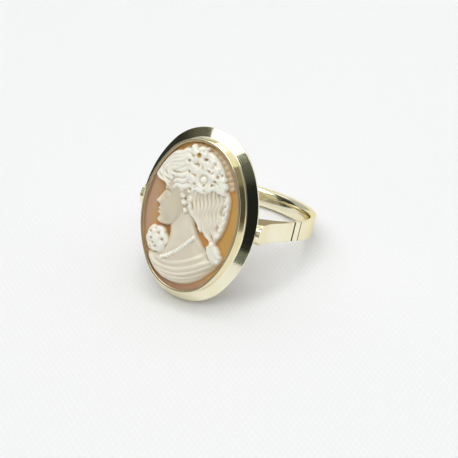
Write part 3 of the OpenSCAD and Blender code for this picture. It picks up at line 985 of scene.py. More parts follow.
@dataclass
class Relief:
    """Heights of a carving over its ground, in millimetres, worked with strokes like a carver's.

    Places are shares of the half width and half height. Sizes and heights are millimetres.
    """

    x: Array
    y: Array
    half_x: float
    half_z: float
    tone: float = 0.0
    h: Array = field(init=False)
    amber: Array = field(init=False)
    shade: Array = field(init=False)

    def __post_init__(self) -> None:
        """Starts from the bare ground, with no amber showing through the white."""
        self.h, self.amber, self.shade = (np.zeros_like(self.x) for _ in range(3))

    def sized(self, places: Sequence[Point]) -> Array:
        """Places in millimetres from shares of the half width and half height."""
        return np.asarray(places, float) * (self.half_x, self.half_z)

    def off(self, place: Point, turn: float, far: float) -> Point:
        """The place at a distance from another one, in a direction in degrees."""
        a = math.radians(turn)
        return place[0] + far * math.cos(a) / self.half_x, place[1] + far * math.sin(a) / self.half_z

    def near(self, line: Array, reach: float) -> Array:
        """Numbers of the points within a line's box, grown by a reach."""
        low, high = line.min(0) - reach, line.max(0) + reach
        held = (self.x > low[0]) & (self.x < high[0]) & (self.y > low[1]) & (self.y < high[1])
        return np.nonzero(held)[0]

    def around(self, place: Point, reach: float, turn: float = 0.0) -> tuple[Array, Array, Array]:
        """Measures from a place to the points round it.

        Args:
            place: The place.
            reach: Half width of the square that holds the points.
            turn: Direction of the first distances, in degrees.

        Returns:
            Numbers of the points, and distances in that direction and square to it.
        """
        cx, cy = self.sized([place])[0]
        at = np.nonzero((np.abs(self.x - cx) < reach) & (np.abs(self.y - cy) < reach))[0]
        px, py = self.x[at] - cx, self.y[at] - cy
        c, s = math.cos(math.radians(turn)), math.sin(math.radians(turn))
        return at, px * c + py * s, py * c - px * s

    def beside(self, line: Array, reach: float) -> tuple[Array, Array, Array]:
        """Measures from a line to the points near it.

        Args:
            line: The line's points in millimetres.
            reach: How far past the line's box the points are taken.

        Returns:
            Numbers of the points, signed distances, positive on the left, and shares of the line's length.
        """
        at = self.near(line, reach)
        a, d = line[:-1], np.diff(line, axis=0)
        length2 = (d**2).sum(1)
        px, py = self.x[at][:, None] - a[:, 0], self.y[at][:, None] - a[:, 1]
        k = np.clip((px * d[:, 0] + py * d[:, 1]) / length2, 0, 1)
        qx, qy = px - k * d[:, 0], py - k * d[:, 1]
        best = (qx**2 + qy**2).argmin(1)
        row = np.arange(len(at))
        qx, qy = qx[row, best], qy[row, best]
        seg = np.sqrt(length2)
        start = np.concatenate([[0], np.cumsum(seg)[:-1]])
        along = (start[best] + k[row, best] * seg[best]) / seg.sum()
        side = np.sign(d[best, 0] * qy - d[best, 1] * qx)
        return at, side * np.hypot(qx, qy), along

    def inside(self, places: Sequence[Point], steps: int = 8) -> tuple[Array, Array]:
        """Measures how far points lie inside a smooth outline.

        Args:
            places: The outline.
            steps: Number of pieces between two of its places.

        Returns:
            Numbers of the points near it, and their distances, 0 outside.
        """
        loop = smooth_line(self.sized(places), steps, True)
        at = self.near(loop, 0.1)
        px, py = self.x[at], self.y[at]
        best = np.full(len(at), np.inf)
        held = np.zeros(len(at), bool)
        for (ax, ay), (bx, by) in zip(loop, np.roll(loop, -1, 0)):
            dx, dy = bx - ax, by - ay
            k = np.clip(((px - ax) * dx + (py - ay) * dy) / (dx * dx + dy * dy + 1e-12), 0, 1)
            best = np.minimum(best, (px - ax - k * dx) ** 2 + (py - ay - k * dy) ** 2)
            crosses = (ay > py) != (by > py)
            held ^= crosses & (px < ax + (py - ay) * dx / (dy if dy else 1e-12))
        return at, np.where(held, np.sqrt(best), 0.0)

    def lay(self, at: Array, height: Array) -> None:
        """Lays a form over the carving, where it is the higher one."""
        self.shade[at] = np.where(height > self.h[at], self.tone, self.shade[at])
        self.h[at] = np.maximum(self.h[at], height)

    def heap(self, at: Array, away: Array, low: float, high: float, share: Array | float = 1.0) -> None:
        """Lays a form with a round section.

        Args:
            at: Numbers of its points.
            away: How far they are from its middle or its middle line, which is 1 at its edge.
            low: Height at its edge.
            high: Height of its middle.
            share: Share of the rise that is left at each point.
        """
        body = np.sqrt(np.clip(1 - away * away, 0, 1))
        self.lay(at, np.where(np.abs(away) < 1, low + (high - low) * body * share, 0))

    def form(self, places: Sequence[Point], high: float, edge: float) -> tuple[Array, Array]:
        """Lays a rounded form over an outline.

        Args:
            places: The outline.
            high: Its height.
            edge: Width of its rounded edge.

        Returns:
            Numbers of the points near it and how far inside they are.
        """
        at, gap = self.inside(places)
        self.lay(at, high * quarter_round(gap, edge))
        return at, gap

    def lock(
        self, places: Sequence[Point], width: float, low: float, high: float, strands: int = 1,
        taper: Point = (0.8, 0.6), cut: float = 0.0, wave: float = 0.0, pitch: float = 1.45,
        phase: float = 0.0, swing: float = 0.0,
    ) -> None:
        """Lays a lock of hair: a tapering ridge with finer strands cut along it.

        Args:
            places: Its course.
            width: Its half width.
            low: Height at its sides.
            high: Height of its middle.
            strands: Number of strands.
            taper: Share of the width at its start and end.
            cut: Depth of the cuts as a share of its rise.
            wave: How far it waves to each side.
            pitch: Length of one wave.
            phase: Share of a wave that they start at.
            swing: Rise and fall of the lock from bend to bend, as a share of its rise.
        """
        line = smooth_line(self.sized(places), 10)
        lead = np.gradient(line, axis=0)
        step = np.linalg.norm(lead, axis=1)[:, None]
        lead /= step
        length = float(step.sum()) / pitch
        far = np.cumsum(step, axis=0) / pitch
        line = line + np.stack([-lead[:, 1], lead[:, 0]], 1) * wave * np.sin(2 * np.pi * (far + phase))
        at, gap, share = self.beside(line, width * 1.1)
        half = width * (taper[0] + (1 - taper[0]) * ease(0, 0.3, share))
        half *= taper[1] + (1 - taper[1]) * ease(1.0, 0.6, share)
        away = gap / half
        fine = 0.5 - 0.5 * np.cos(np.pi * strands * (away + 1))
        roll = 1 + swing * np.sin(2 * np.pi * (length * share + phase))
        self.heap(at, away, low, high, (1 - cut * (1 - fine)) * roll)

    def twist(self, places: Sequence[Point], width: float, low: float, high: float, turns: float) -> None:
        """Lays a rope of hair.

        Args:
            places: Its course.
            width: Its half width.
            low: Height at its sides.
            high: Height of its middle.
            turns: Number of slanting rounds.
        """
        at, gap, share = self.beside(smooth_line(self.sized(places), 10), width * 1.1)
        rounds = np.abs(np.sin(np.pi * (turns * share + 0.45 * gap / width))) ** 0.6
        ends = ease(0, 0.06, share) * ease(1, 0.9, share)
        self.heap(at, gap / width, low, high, (0.45 + 0.55 * rounds) * ends)

    def curl(self, place: Point, radius: float, width: float, low: float, high: float, hand: int) -> None:
        """Lays a lock rolled into a spiral.

        Args:
            place: Its middle.
            radius: Its outer radius.
            width: Half width of the lock.
            low: Height at its sides.
            high: Height of its middle.
            hand: 1 or -1 for the way it rolls.
        """
        turns, start = 0.8, math.radians(120)
        k = np.linspace(0, 1, 36)
        angle = start + hand * 2 * np.pi * turns * k
        far = radius * (1 - 0.72 * k)
        line = self.sized([place])[0] + np.stack([far * np.cos(angle), far * np.sin(angle)], 1)
        at, gap, share = self.beside(line, width * 1.1)
        away = gap / (width * (0.55 + 0.45 * ease(0, 0.25, share)) * (1 - 0.3 * share))
        fine = 1 - 0.16 * np.cos(2.5 * np.pi * away) ** 2
        self.heap(at, away, low, high, fine * (0.8 + 0.2 * share))

    def bead(self, place: Point, radius: float, low: float, high: float) -> None:
        """Lays a round bead, from the height at its edge to that of its middle."""
        at, px, py = self.around(place, radius)
        self.heap(at, np.hypot(px, py) / radius, low, high)

    def pit(self, place: Point, radius: float, depth: float) -> None:
        """Drills a round pit."""
        at, px, py = self.around(place, radius * 1.5)
        left = self.h[at] - depth * ease(1.25, 0.6, np.hypot(px, py) / radius)
        self.h[at] = np.maximum(left, 0.0)

    def glow(self, place: Point, radius: float) -> None:
        """Lets the amber show through in a round spot."""
        at, px, py = self.around(place, radius * 1.5)
        self.amber[at] = np.maximum(self.amber[at], ease(1.2, 0.7, np.hypot(px, py) / radius))

    def swell(self, place: Point, half: Point, turn: float, amount: float, power: float = 2.0) -> None:
        """Raises or lowers what is there by a soft oval.

        Args:
            place: Its middle.
            half: Its half width and half length.
            turn: Its turn in degrees.
            amount: Rise of its middle.
            power: How softly it fades, from 1.
        """
        at, px, py = self.around(place, max(half), turn)
        fade = np.clip(1 - (px / half[0]) ** 2 - (py / half[1]) ** 2, 0, 1) ** power
        self.h[at] += amount * fade * (self.h[at] > LEAST_HEIGHT)

    def stroke(
        self, places: Sequence[Point], width: float, amount: float, ends: Point = (0.18, 0.2),
        skew: float = 0.0,
    ) -> None:
        """Raises or cuts what is there along a line.

        Args:
            places: The line.
            width: Half width of the stroke.
            amount: Rise, or depth where it is negative.
            ends: Shares of the length over which it fades in and out.
            skew: How much steeper its left side is.
        """
        at, gap, share = self.beside(smooth_line(self.sized(places), 8), width * 1.8)
        away = gap / width * np.where(gap > 0, 1 + skew, 1 - 0.45 * skew)
        fade = ease(0, ends[0], share) * ease(1, 1 - ends[1], share)
        self.h[at] += amount * np.clip(1 - away * away, 0, 1) ** 1.4 * fade * (self.h[at] > LEAST_HEIGHT)

    def leaf(
        self, place: Point, turn: float, length: float, width: float, low: float, high: float,
        vein: float = 0.3,
    ) -> None:
        """Lays a leaf with a vein.

        Args:
            place: Its middle.
            turn: Its turn in degrees.
            length: Its half length.
            width: Its half width.
            low: Height at its edge.
            high: Height of its middle.
            vein: Depth of the vein as a share of the rise.
        """
        at, px, py = self.around(place, length * 1.1, turn)
        u, v = px / length, np.abs(py / width)
        half = np.sqrt(np.clip(1 - u * u, 0, 1)) * (1 - 0.15 * u)
        away = np.where(np.abs(u) < 1, v / np.maximum(half, 1e-3), 1.0)
        veined = 1 - vein * np.exp(-((v / 0.14) ** 2)) + 0.07 * np.cos(8 * (u + 0.6 * v))
        self.heap(at, away, low, high, veined)

    def clefts(
        self, place: Point, inner: float, outer: float, count: int, start: float, depth: float,
    ) -> None:
        """Cuts between the petals of a flower.

        Args:
            place: Middle of the flower.
            inner: Radius at which the cuts start.
            outer: Radius at which they end.
            count: Number of petals.
            start: Angle of the first petal in degrees.
            depth: Depth of the cuts.
        """
        for i in range(count):
            turn = start + 360 * (i + 0.5) / count
            ends = [self.off(place, turn, far) for far in (inner, 0.5 * (inner + outer), outer)]
            self.stroke(ends, 0.16, -depth, (0.3, 0.1))

    def petals(
        self, place: Point, inner: float, outer: float, count: int, low: float, high: float,
        start: float, cup: float,
    ) -> None:
        """Lays a ring of round petals, each hollowed a little.

        Args:
            place: Middle of the flower.
            inner: Radius at which they start.
            outer: Radius at which they end.
            count: Number of petals.
            low: Height at their edges.
            high: Height of their middles.
            start: Angle of the first one in degrees.
            cup: Depth of the hollow as a share of the rise.
        """
        middle, half = 0.5 * (inner + outer), 0.5 * (outer - inner)
        wide = np.pi * middle / count * 1.3
        for i in range(count):
            at, px, py = self.around(place, outer * 1.1, start + 360 * i / count)
            u = (px - middle) / half
            girth = np.maximum(wide * (0.85 + 0.2 * u), 1e-3)
            d = u**2 + (py / girth) ** 2
            rise = np.sqrt(np.clip(1 - d, 0, 1)) * (1 - cup * np.exp(-d / 0.35)) + 0.12 * u
            self.lay(at, np.where(d < 1, low + (high - low) * rise - 0.06 * (i % 2), 0))


@dataclass(frozen=True)
class TextbookHead:
    """A plain head in equal thirds, from hairline to brow, nose's base and chin."""

    chin: float = -1.75
    forehead: float = -3.85
    third: float = 2.07

    PROFILE = (
        (3.3, 0.60), (3.0, 0.24), (2.6, 0.04), (2.25, 0.0), (2.03, 0.035), (1.86, 0.04), (1.70, -0.02),
        (1.45, -0.17), (1.26, -0.31), (1.14, -0.375), (1.06, -0.34), (1.005, -0.18), (0.96, -0.065),
        (0.88, -0.075), (0.79, -0.13), (0.73, -0.175), (0.685, -0.15), (0.655, -0.07), (0.615, -0.12),
        (0.555, -0.135), (0.49, -0.07), (0.42, 0.02), (0.33, 0.02), (0.22, -0.045), (0.10, -0.03),
        (0.0, 0.10), (-0.06, 0.34), (-0.02, 0.66), (0.12, 1.02), (0.34, 1.34), (0.68, 1.58), (1.2, 1.72),
        (2.0, 2.1), (2.9, 2.2), (3.7, 1.6), (3.7, 0.9),
    )
    SWELLS = (
        (1.18, 0.86, 0.95, 0.85, 25, 0.13, 2.0),
        (2.45, 0.75, 0.9, 0.9, 0, 0.06, 2.0),
        (0.75, 1.22, 0.8, 0.55, -35, 0.07, 2.0),
        (1.80, 0.30, 0.36, 0.36, 0, -0.24, 2.0),
        (2.10, 0.38, 0.22, 0.62, 6, 0.10, 2.0),
        (1.71, 0.36, 0.20, 0.29, -6, 0.20, 1.2),
        (0.17, 0.16, 0.34, 0.30, 0, 0.09, 2.0),
        (0.46, 0.62, 0.5, 0.42, 0, -0.06, 2.0),
        (1.42, -0.02, 0.6, 0.22, -20, 0.12, 2.0),
        (1.12, -0.22, 0.2, 0.18, 0, 0.06, 2.0),
    )
    STROKES = (
        ((1.82, 0.12), (1.90, 0.28), (1.87, 0.46), (1.76, 0.62), 0.16, -0.09),
        ((1.745, 0.13), (1.69, 0.20), (1.66, 0.32), (1.665, 0.44), (1.70, 0.56), 0.07, -0.06),
        ((1.70, 0.10), (1.795, 0.20), (1.81, 0.36), (1.74, 0.52), (1.68, 0.62), 0.11, 0.11),
        ((1.64, 0.16), (1.585, 0.28), (1.60, 0.42), (1.66, 0.54), 0.09, 0.05),
        ((1.58, 0.14), (1.50, 0.30), (1.53, 0.50), 0.16, -0.03),
        ((0.655, -0.12), (0.665, 0.02), (0.655, 0.16), (0.62, 0.30), 0.11, -0.14),
        ((0.755, -0.17), (0.765, -0.02), (0.72, 0.14), (0.655, 0.27), 0.17, 0.09),
        ((0.56, -0.12), (0.55, 0.02), (0.575, 0.16), (0.615, 0.26), 0.19, 0.10),
        ((0.43, -0.01), (0.42, 0.12), (0.47, 0.26), 0.24, -0.07),
        ((1.02, -0.14), (1.08, 0.0), (1.20, 0.045), (1.27, -0.04), 0.19, 0.10),
        ((1.015, -0.22), (1.045, -0.14), (1.055, -0.06), 0.09, -0.10),
        ((1.32, 0.02), (1.20, 0.13), (1.04, 0.10), 0.14, -0.06),
        ((1.02, 0.16), (0.86, 0.25), (0.72, 0.36), 0.20, -0.035),
    )

    def carve(self, relief: Relief) -> None:
        """Carves the head.

        Args:
            relief: The carving it goes into.
        """
        def place(over: float, behind: float) -> Point:
            """A place as shares, from thirds over the chin and behind the forehead."""
            return (
                (self.forehead + behind * self.third) / relief.half_x,
                (self.chin + over * self.third) / relief.half_z,
            )

        at, gap = relief.inside([place(*p) for p in self.PROFILE], 7)
        relief.lay(at, (0.46 + 0.56 * quarter_round(gap, 2.1) ** 1.3) * quarter_round(gap, 0.26))
        for over, behind, tall, wide, turn, amount, power in self.SWELLS:
            relief.swell(place(over, behind), (wide * self.third, tall * self.third), turn, amount, power)
        for *places, width, amount in self.STROKES:
            relief.stroke([place(*p) for p in places], width, amount)
        relief.bead(place(1.12, 1.74), 0.27, 0.8, 1.12)


@dataclass
class Lady(Relief):
    """The carving: a lady's bust with flowers in her hair."""

    def bust(self) -> None:
        """Carves the shoulders, the neck and the gown."""
        hem = [
            (-0.78, -0.655), (-0.72, -0.73), (-0.54, -0.83), (-0.32, -0.905), (-0.05, -0.935), (0.22, -0.90),
            (0.48, -0.79), (0.70, -0.62), (0.84, -0.47), (0.85, -0.39), (0.74, -0.375),
        ]
        at, gap = self.form([
            (-0.33, -0.15), (-0.315, -0.28), (-0.33, -0.42), (-0.42, -0.52), (-0.62, -0.60), *hem,
            (0.60, -0.385), (0.45, -0.325), (0.31, -0.22), (0.19, -0.105), (0.10, 0.10), (-0.2, 0.1),
        ], 0.74, 1.2)
        self.form([
            (0.05, 0.05), (0.13, -0.035), (0.21, -0.12), (0.32, -0.225), (0.45, -0.325), (0.58, -0.38),
            (0.70, -0.395), (0.72, -0.43), (0.52, -0.43), (0.30, -0.38), (0.02, -0.25),
        ], 0.62, 0.3)
        lower_right = ease(0.5, 1.2, self.x[at] / self.half_x - self.y[at] / self.half_z)
        self.h[at] *= 1 - 0.85 * (1 - ease(0, 1.5, gap)) * lower_right
        self.swell((0.02, -0.24), (1.5, 3.2), -12, 0.20)
        self.swell((-0.12, -0.46), (2.8, 1.4), 10, 0.10)
        self.stroke([(0.16, 0.02), (0.06, -0.2), (-0.08, -0.42)], 0.7, -0.05)
        self.stroke([(-0.30, -0.33), (-0.12, -0.36), (0.08, -0.30)], 0.35, -0.025)
        self.stroke([(-0.40, -0.545), (-0.18, -0.50), (0.02, -0.42)], 0.5, -0.03)
        at, gap = self.inside([
            (-0.50, -0.63), (-0.30, -0.645), (-0.08, -0.62), (0.14, -0.555), (0.34, -0.47), (0.50, -0.375),
            (0.62, -0.385), *reversed(hem), (-0.64, -0.61),
        ])
        self.h[at] += 0.12 * quarter_round(gap, 0.22)
        for width, amount, skew, *places in (
            (0.22, 0.10, 0.2, (-0.50, -0.66), (-0.26, -0.675), (-0.02, -0.64), (0.22, -0.56), (0.44, -0.455),
             (0.60, -0.395)),
            (0.30, 0.22, 0.6, (-0.56, -0.71), (-0.30, -0.745), (0.00, -0.715), (0.30, -0.62), (0.56, -0.50),
             (0.76, -0.41)),
            (0.26, 0.24, 0.6, (-0.54, -0.765), (-0.26, -0.80), (0.06, -0.77), (0.36, -0.675), (0.60, -0.56),
             (0.80, -0.44)),
            (0.26, 0.24, 0.6, (-0.48, -0.815), (-0.22, -0.85), (0.10, -0.825), (0.40, -0.73), (0.66, -0.60)),
            (0.24, 0.20, 0.6, (-0.40, -0.865), (-0.12, -0.895), (0.14, -0.87), (0.38, -0.79), (0.56, -0.70)),
            (0.26, 0.16, -0.4, (-0.74, -0.665), (-0.62, -0.725), (-0.50, -0.80), (-0.38, -0.86)),
            (0.24, 0.16, -0.4, (-0.64, -0.63), (-0.56, -0.70), (-0.46, -0.775)),
            (0.16, 0.06, 0.0, (-0.16, -0.64), (0.06, -0.60), (0.26, -0.52), (0.42, -0.43)),
            (0.14, 0.05, 0.0, (-0.10, -0.765), (0.15, -0.73), (0.38, -0.64)),
        ):
            self.stroke(places, width, amount, (0.12, 0.18), skew)

    def tresses(self) -> None:
        """Carves the hair that falls behind."""
        self.form([
            (0.02, 0.42), (0.25, 0.47), (0.5, 0.50), (0.68, 0.46), (0.745, 0.34), (0.765, 0.12),
            (0.73, -0.06), (0.65, -0.18), (0.58, -0.23), (0.49, -0.18), (0.39, -0.10), (0.28, -0.03),
            (0.14, 0.02), (0.03, 0.10), (-0.03, 0.20), (-0.02, 0.32),
        ], 0.56, 0.6)
        for k in range(4):
            self.lock(
                [(0.16 - 0.05 * k, 0.44), (0.06 - 0.025 * k, 0.32), (0.01 - 0.012 * k, 0.20 - 0.01 * k),
                 (0.06 + 0.01 * k, 0.09), (0.17 + 0.02 * k, 0.02 + 0.01 * k), (0.28 + 0.02 * k, -0.04)],
                0.26, 0.5, 1.0, wave=0.05, pitch=1.9, phase=0.2 * k,
            )
        for i in range(8):
            top, low = 0.07 + 0.073 * i, 0.29 + 0.052 * i
            self.lock(
                [(top, 0.42 + 0.007 * i), (top + 0.03, 0.28), (top + 0.065 - 0.004 * i, 0.13),
                 (0.5 * (top + low) + 0.045 - 0.008 * i, 0.02), (low, -0.10 - 0.02 * (i % 2))],
                0.25, 0.42, 1.05 - 0.02 * i, taper=(0.85, 0.7), wave=0.13, pitch=2.1, phase=0.08 * i,
                swing=0.1,
            )
        self.twist([
            (0.62, 0.47), (0.70, 0.36), (0.728, 0.20), (0.725, 0.05), (0.685, -0.08), (0.62, -0.18),
        ], 0.36, 0.42, 0.98, 7)
        for place in ((0.65, 0.41), (0.705, 0.29), (0.72, 0.17), (0.71, 0.05), (0.67, -0.055)):
            self.pit(place, 0.13, 0.25)
        for width, high, *places in (
            (0.27, 0.98, (0.22, 0.02), (0.32, -0.035), (0.45, -0.13), (0.56, -0.22), (0.62, -0.26)),
            (0.26, 0.94, (0.34, 0.02), (0.43, -0.07), (0.54, -0.16), (0.62, -0.23)),
            (0.28, 0.98, (0.50, 0.023), (0.58, -0.08), (0.63, -0.15), (0.66, -0.20)),
            (0.26, 0.94, (0.65, 0.145), (0.69, 0.03), (0.70, -0.099)),
        ):
            self.lock(places, width, 0.35, high, strands=2, taper=(0.35, 0.15), cut=0.3, wave=0.07, pitch=1.2)

    def head(self) -> None:
        """Carves the plain head."""
        TextbookHead().carve(self)

    def forelock(self) -> None:
        """Carves the waved hair over the forehead and the small curls at the temple."""
        self.form([
            (0.10, 0.36), (0.02, 0.28), (-0.12, 0.30), (-0.28, 0.31), (-0.42, 0.30), (-0.54, 0.29),
            (-0.66, 0.34), (-0.80, 0.39), (-0.89, 0.425), (-0.88, 0.51), (-0.81, 0.60), (-0.70, 0.675),
            (-0.60, 0.735), (-0.46, 0.785), (-0.30, 0.85), (-0.05, 0.90), (0.2, 0.86), (0.4, 0.76),
            (0.55, 0.62), (0.6, 0.5), (0.4, 0.44),
        ], 0.86, 0.55)
        for place in (
            (-0.855, 0.485), (-0.80, 0.57), (-0.705, 0.64), (-0.60, 0.70), (-0.47, 0.755), (-0.33, 0.825),
            (-0.19, 0.87),
        ):
            self.bead(place, 0.36, 0.5, 1.1)
        outer = np.array([
            (-0.06, 0.85), (-0.28, 0.83), (-0.50, 0.755), (-0.70, 0.65), (-0.825, 0.545), (-0.83, 0.455),
            (-0.73, 0.385), (-0.53, 0.335),
        ])
        middle = np.array((-0.42, 0.53))
        for k in range(5):
            nested = middle + (1 - 0.19 * k) * (outer - middle)
            self.lock(nested, 0.31, 0.72, 1.14 + 0.02 * k, wave=0.09, pitch=1.9, phase=0.25 * k, swing=0.1)
        for k in range(6):
            level = 0.76 - 0.074 * k
            self.lock(
                [(-0.02, level - 0.01), (-0.16, level), (-0.30, level - 0.02),
                 (-0.43 + 0.015 * k, level - 0.07)],
                0.33, 0.84, 1.22, taper=(0.8, 0.7), wave=0.17, pitch=1.75, phase=0.1 * k, swing=0.15,
            )
        for places in (
            [(0.05, 0.88), (0.20, 0.84), (0.36, 0.76), (0.50, 0.64), (0.58, 0.52)],
            [(0.02, 0.80), (0.16, 0.76), (0.30, 0.69), (0.42, 0.60), (0.50, 0.50)],
        ):
            self.lock(places, 0.42, 0.6, 1.0, strands=2, taper=(0.7, 0.6), cut=0.3)
        for x, y, radius, hand in (
            (-0.20, 0.34, 0.28, 1), (-0.05, 0.345, 0.28, -1), (-0.15, 0.265, 0.28, 1),
            (0.0, 0.245, 0.26, -1), (-0.10, 0.18, 0.26, 1), (0.02, 0.14, 0.24, -1), (-0.04, 0.085, 0.2, 1),
        ):
            self.curl((x, y), radius, 0.17, 0.85, 1.22, hand)

    def wreath(self) -> None:
        """Carves the flowers and leaves in the hair."""
        for x, y, turn, size in (
            (0.36, 0.665, 40, 0.70), (0.49, 0.605, 8, 0.70), (0.585, 0.535, -30, 0.60),
            (0.37, 0.49, -30, 0.62), (0.51, 0.475, -50, 0.56), (0.61, 0.465, -70, 0.46),
            (0.12, 0.72, 70, 0.62), (0.25, 0.75, 65, 0.60), (-0.21, 0.765, 165, 0.42),
            (-0.17, 0.90, 130, 0.42), (0.07, 0.905, 50, 0.42), (-0.09, 0.64, 160, 0.50),
            (-0.10, 0.52, 200, 0.52), (0.05, 0.41, 240, 0.52), (0.25, 0.42, -65, 0.52),
        ):
            self.leaf((x, y), turn, size, 0.72 * size, 0.98, 1.28, 0.15)
        top, large = (-0.013, 0.825), (0.19, 0.54)
        self.petals(top, 0.22, 1.02, 5, 1.0, 1.46, 18, 0.15)
        self.clefts(top, 0.6, 1.1, 5, 18, 0.24)
        self.bead(top, 0.62, 1.1, 1.42)
        self.pit(top, 0.27, 0.52)
        self.glow(top, 0.31)
        self.petals(large, 0.80, 1.58, 6, 0.98, 1.42, 20, 0.12)
        self.clefts(large, 1.05, 1.6, 6, 20, 0.26)
        self.bead(large, 1.08, 1.0, 1.50)
        self.pit(large, 0.72, 0.45)
        self.bead(large, 0.38, 0.9, 1.48)
        for x, y, radius in (
            (0.40, 0.72, 0.46), (0.55, 0.60, 0.40), (0.27, 0.80, 0.42), (-0.22, 0.69, 0.34),
        ):
            self.petals((x, y), 0.06, radius, 5, 0.98, 1.34, 15, 0.1)
            self.bead((x, y), 0.16, 1.1, 1.40)
        for x, y, radius in (
            (0.446, 0.624, 0.20), (0.417, 0.558, 0.20), (0.37, 0.50, 0.13), (0.02, 0.455, 0.16),
            (0.25, 0.665, 0.14), (-0.20, 0.72, 0.16), (0.13, 0.79, 0.13), (0.22, 0.47, 0.12),
            (-0.14, 0.585, 0.12), (0.51, 0.655, 0.13), (-0.04, 0.375, 0.15), (-0.10, 0.225, 0.14),
            (-0.03, 0.155, 0.12),
        ):
            self.pit((x, y), radius, 0.55)

    def rose(self) -> None:
        """Carves the rose at the breast."""
        middle = (-0.55, -0.42)
        for turn, far in ((15, 1.0), (75, 1.05), (135, 1.1), (200, 1.05), (250, 1.15), (310, 1.1)):
            self.leaf(self.off(middle, turn, far), turn + 90, 0.72, 0.54, 0.50, 0.92, 0.05)
        self.petals(middle, 0.30, 1.22, 5, 0.76, 1.16, 40, 0.1)
        self.bead(middle, 0.80, 0.80, 1.14)
        self.bead(middle, 0.34, 0.95, 1.28)
        for x, y, radius in (
            (-0.505, -0.337, 0.2), (-0.411, -0.40, 0.18), (-0.666, -0.434, 0.2), (-0.612, -0.486, 0.18),
            (-0.544, -0.524, 0.17), (-0.70, -0.35, 0.13), (-0.60, -0.29, 0.12), (-0.66, -0.56, 0.13),
        ):
            self.pit((x, y), radius, 0.42)

    def trimmings(self) -> None:
        """Carves the pearls and the end of the drape with its button."""
        line = smooth_line(self.sized([(-0.36, -0.635), (-0.16, -0.54), (0.06, -0.39), (0.235, -0.24)]), 20)
        far = np.concatenate([[0], np.cumsum(np.linalg.norm(np.diff(line, axis=0), axis=1))])
        for at in np.linspace(0, far[-1], 13):
            x, y = (float(np.interp(at, far, line[:, i])) for i in (0, 1))
            self.bead((x / self.half_x, y / self.half_z), 0.24, 0.72, 1.14)
        self.form([
            (0.58, -0.27), (0.70, -0.305), (0.81, -0.36), (0.85, -0.42), (0.78, -0.50), (0.64, -0.50),
            (0.54, -0.38),
        ], 0.84, 0.7)
        for high, *places in (
            (0.94, (0.62, -0.25), (0.68, -0.31), (0.74, -0.355), (0.81, -0.385)),
            (0.90, (0.55, -0.30), (0.62, -0.375), (0.70, -0.43), (0.79, -0.455)),
        ):
            self.lock(places, 0.40, 0.74, high, taper=(0.6, 0.35))
        self.bead((0.61, -0.25), 0.36, 0.7, 1.06)

    def spray(self) -> None:
        """Carves the thin leaves along the upper edge."""
        self.form([
            (0.04, 0.965), (0.20, 0.95), (0.38, 0.915), (0.52, 0.84), (0.635, 0.745), (0.72, 0.65),
            (0.775, 0.55), (0.72, 0.47), (0.50, 0.58), (0.30, 0.76), (0.10, 0.87),
        ], 0.17, 0.25)
        for x, y, turn, size in (
            (0.10, 0.92, 80, 0.62), (0.22, 0.895, 50, 0.62), (0.33, 0.85, 62, 0.62), (0.42, 0.80, 38, 0.62),
            (0.50, 0.745, 52, 0.60), (0.57, 0.69, 25, 0.58), (0.63, 0.63, 42, 0.55), (0.67, 0.57, 12, 0.52),
            (0.71, 0.51, 30, 0.48), (0.0, 0.94, 105, 0.5), (-0.11, 0.93, 130, 0.5),
        ):
            self.leaf((x, y), turn, size, 0.5 * size, 0.13, 0.30)
    def carve(self) -> None:
        """Carves the whole relief, form by form, each with the tone that its bare surface has."""
        for tone, stage in (
            (1.0, self.spray), (0.65, self.bust), (0.5, self.tresses), (1.0, self.head),
            (0.05, self.forelock), (0.0, self.wreath), (0.0, self.rose), (0.1, self.trimmings),
        ):
            self.tone = tone
            stage()


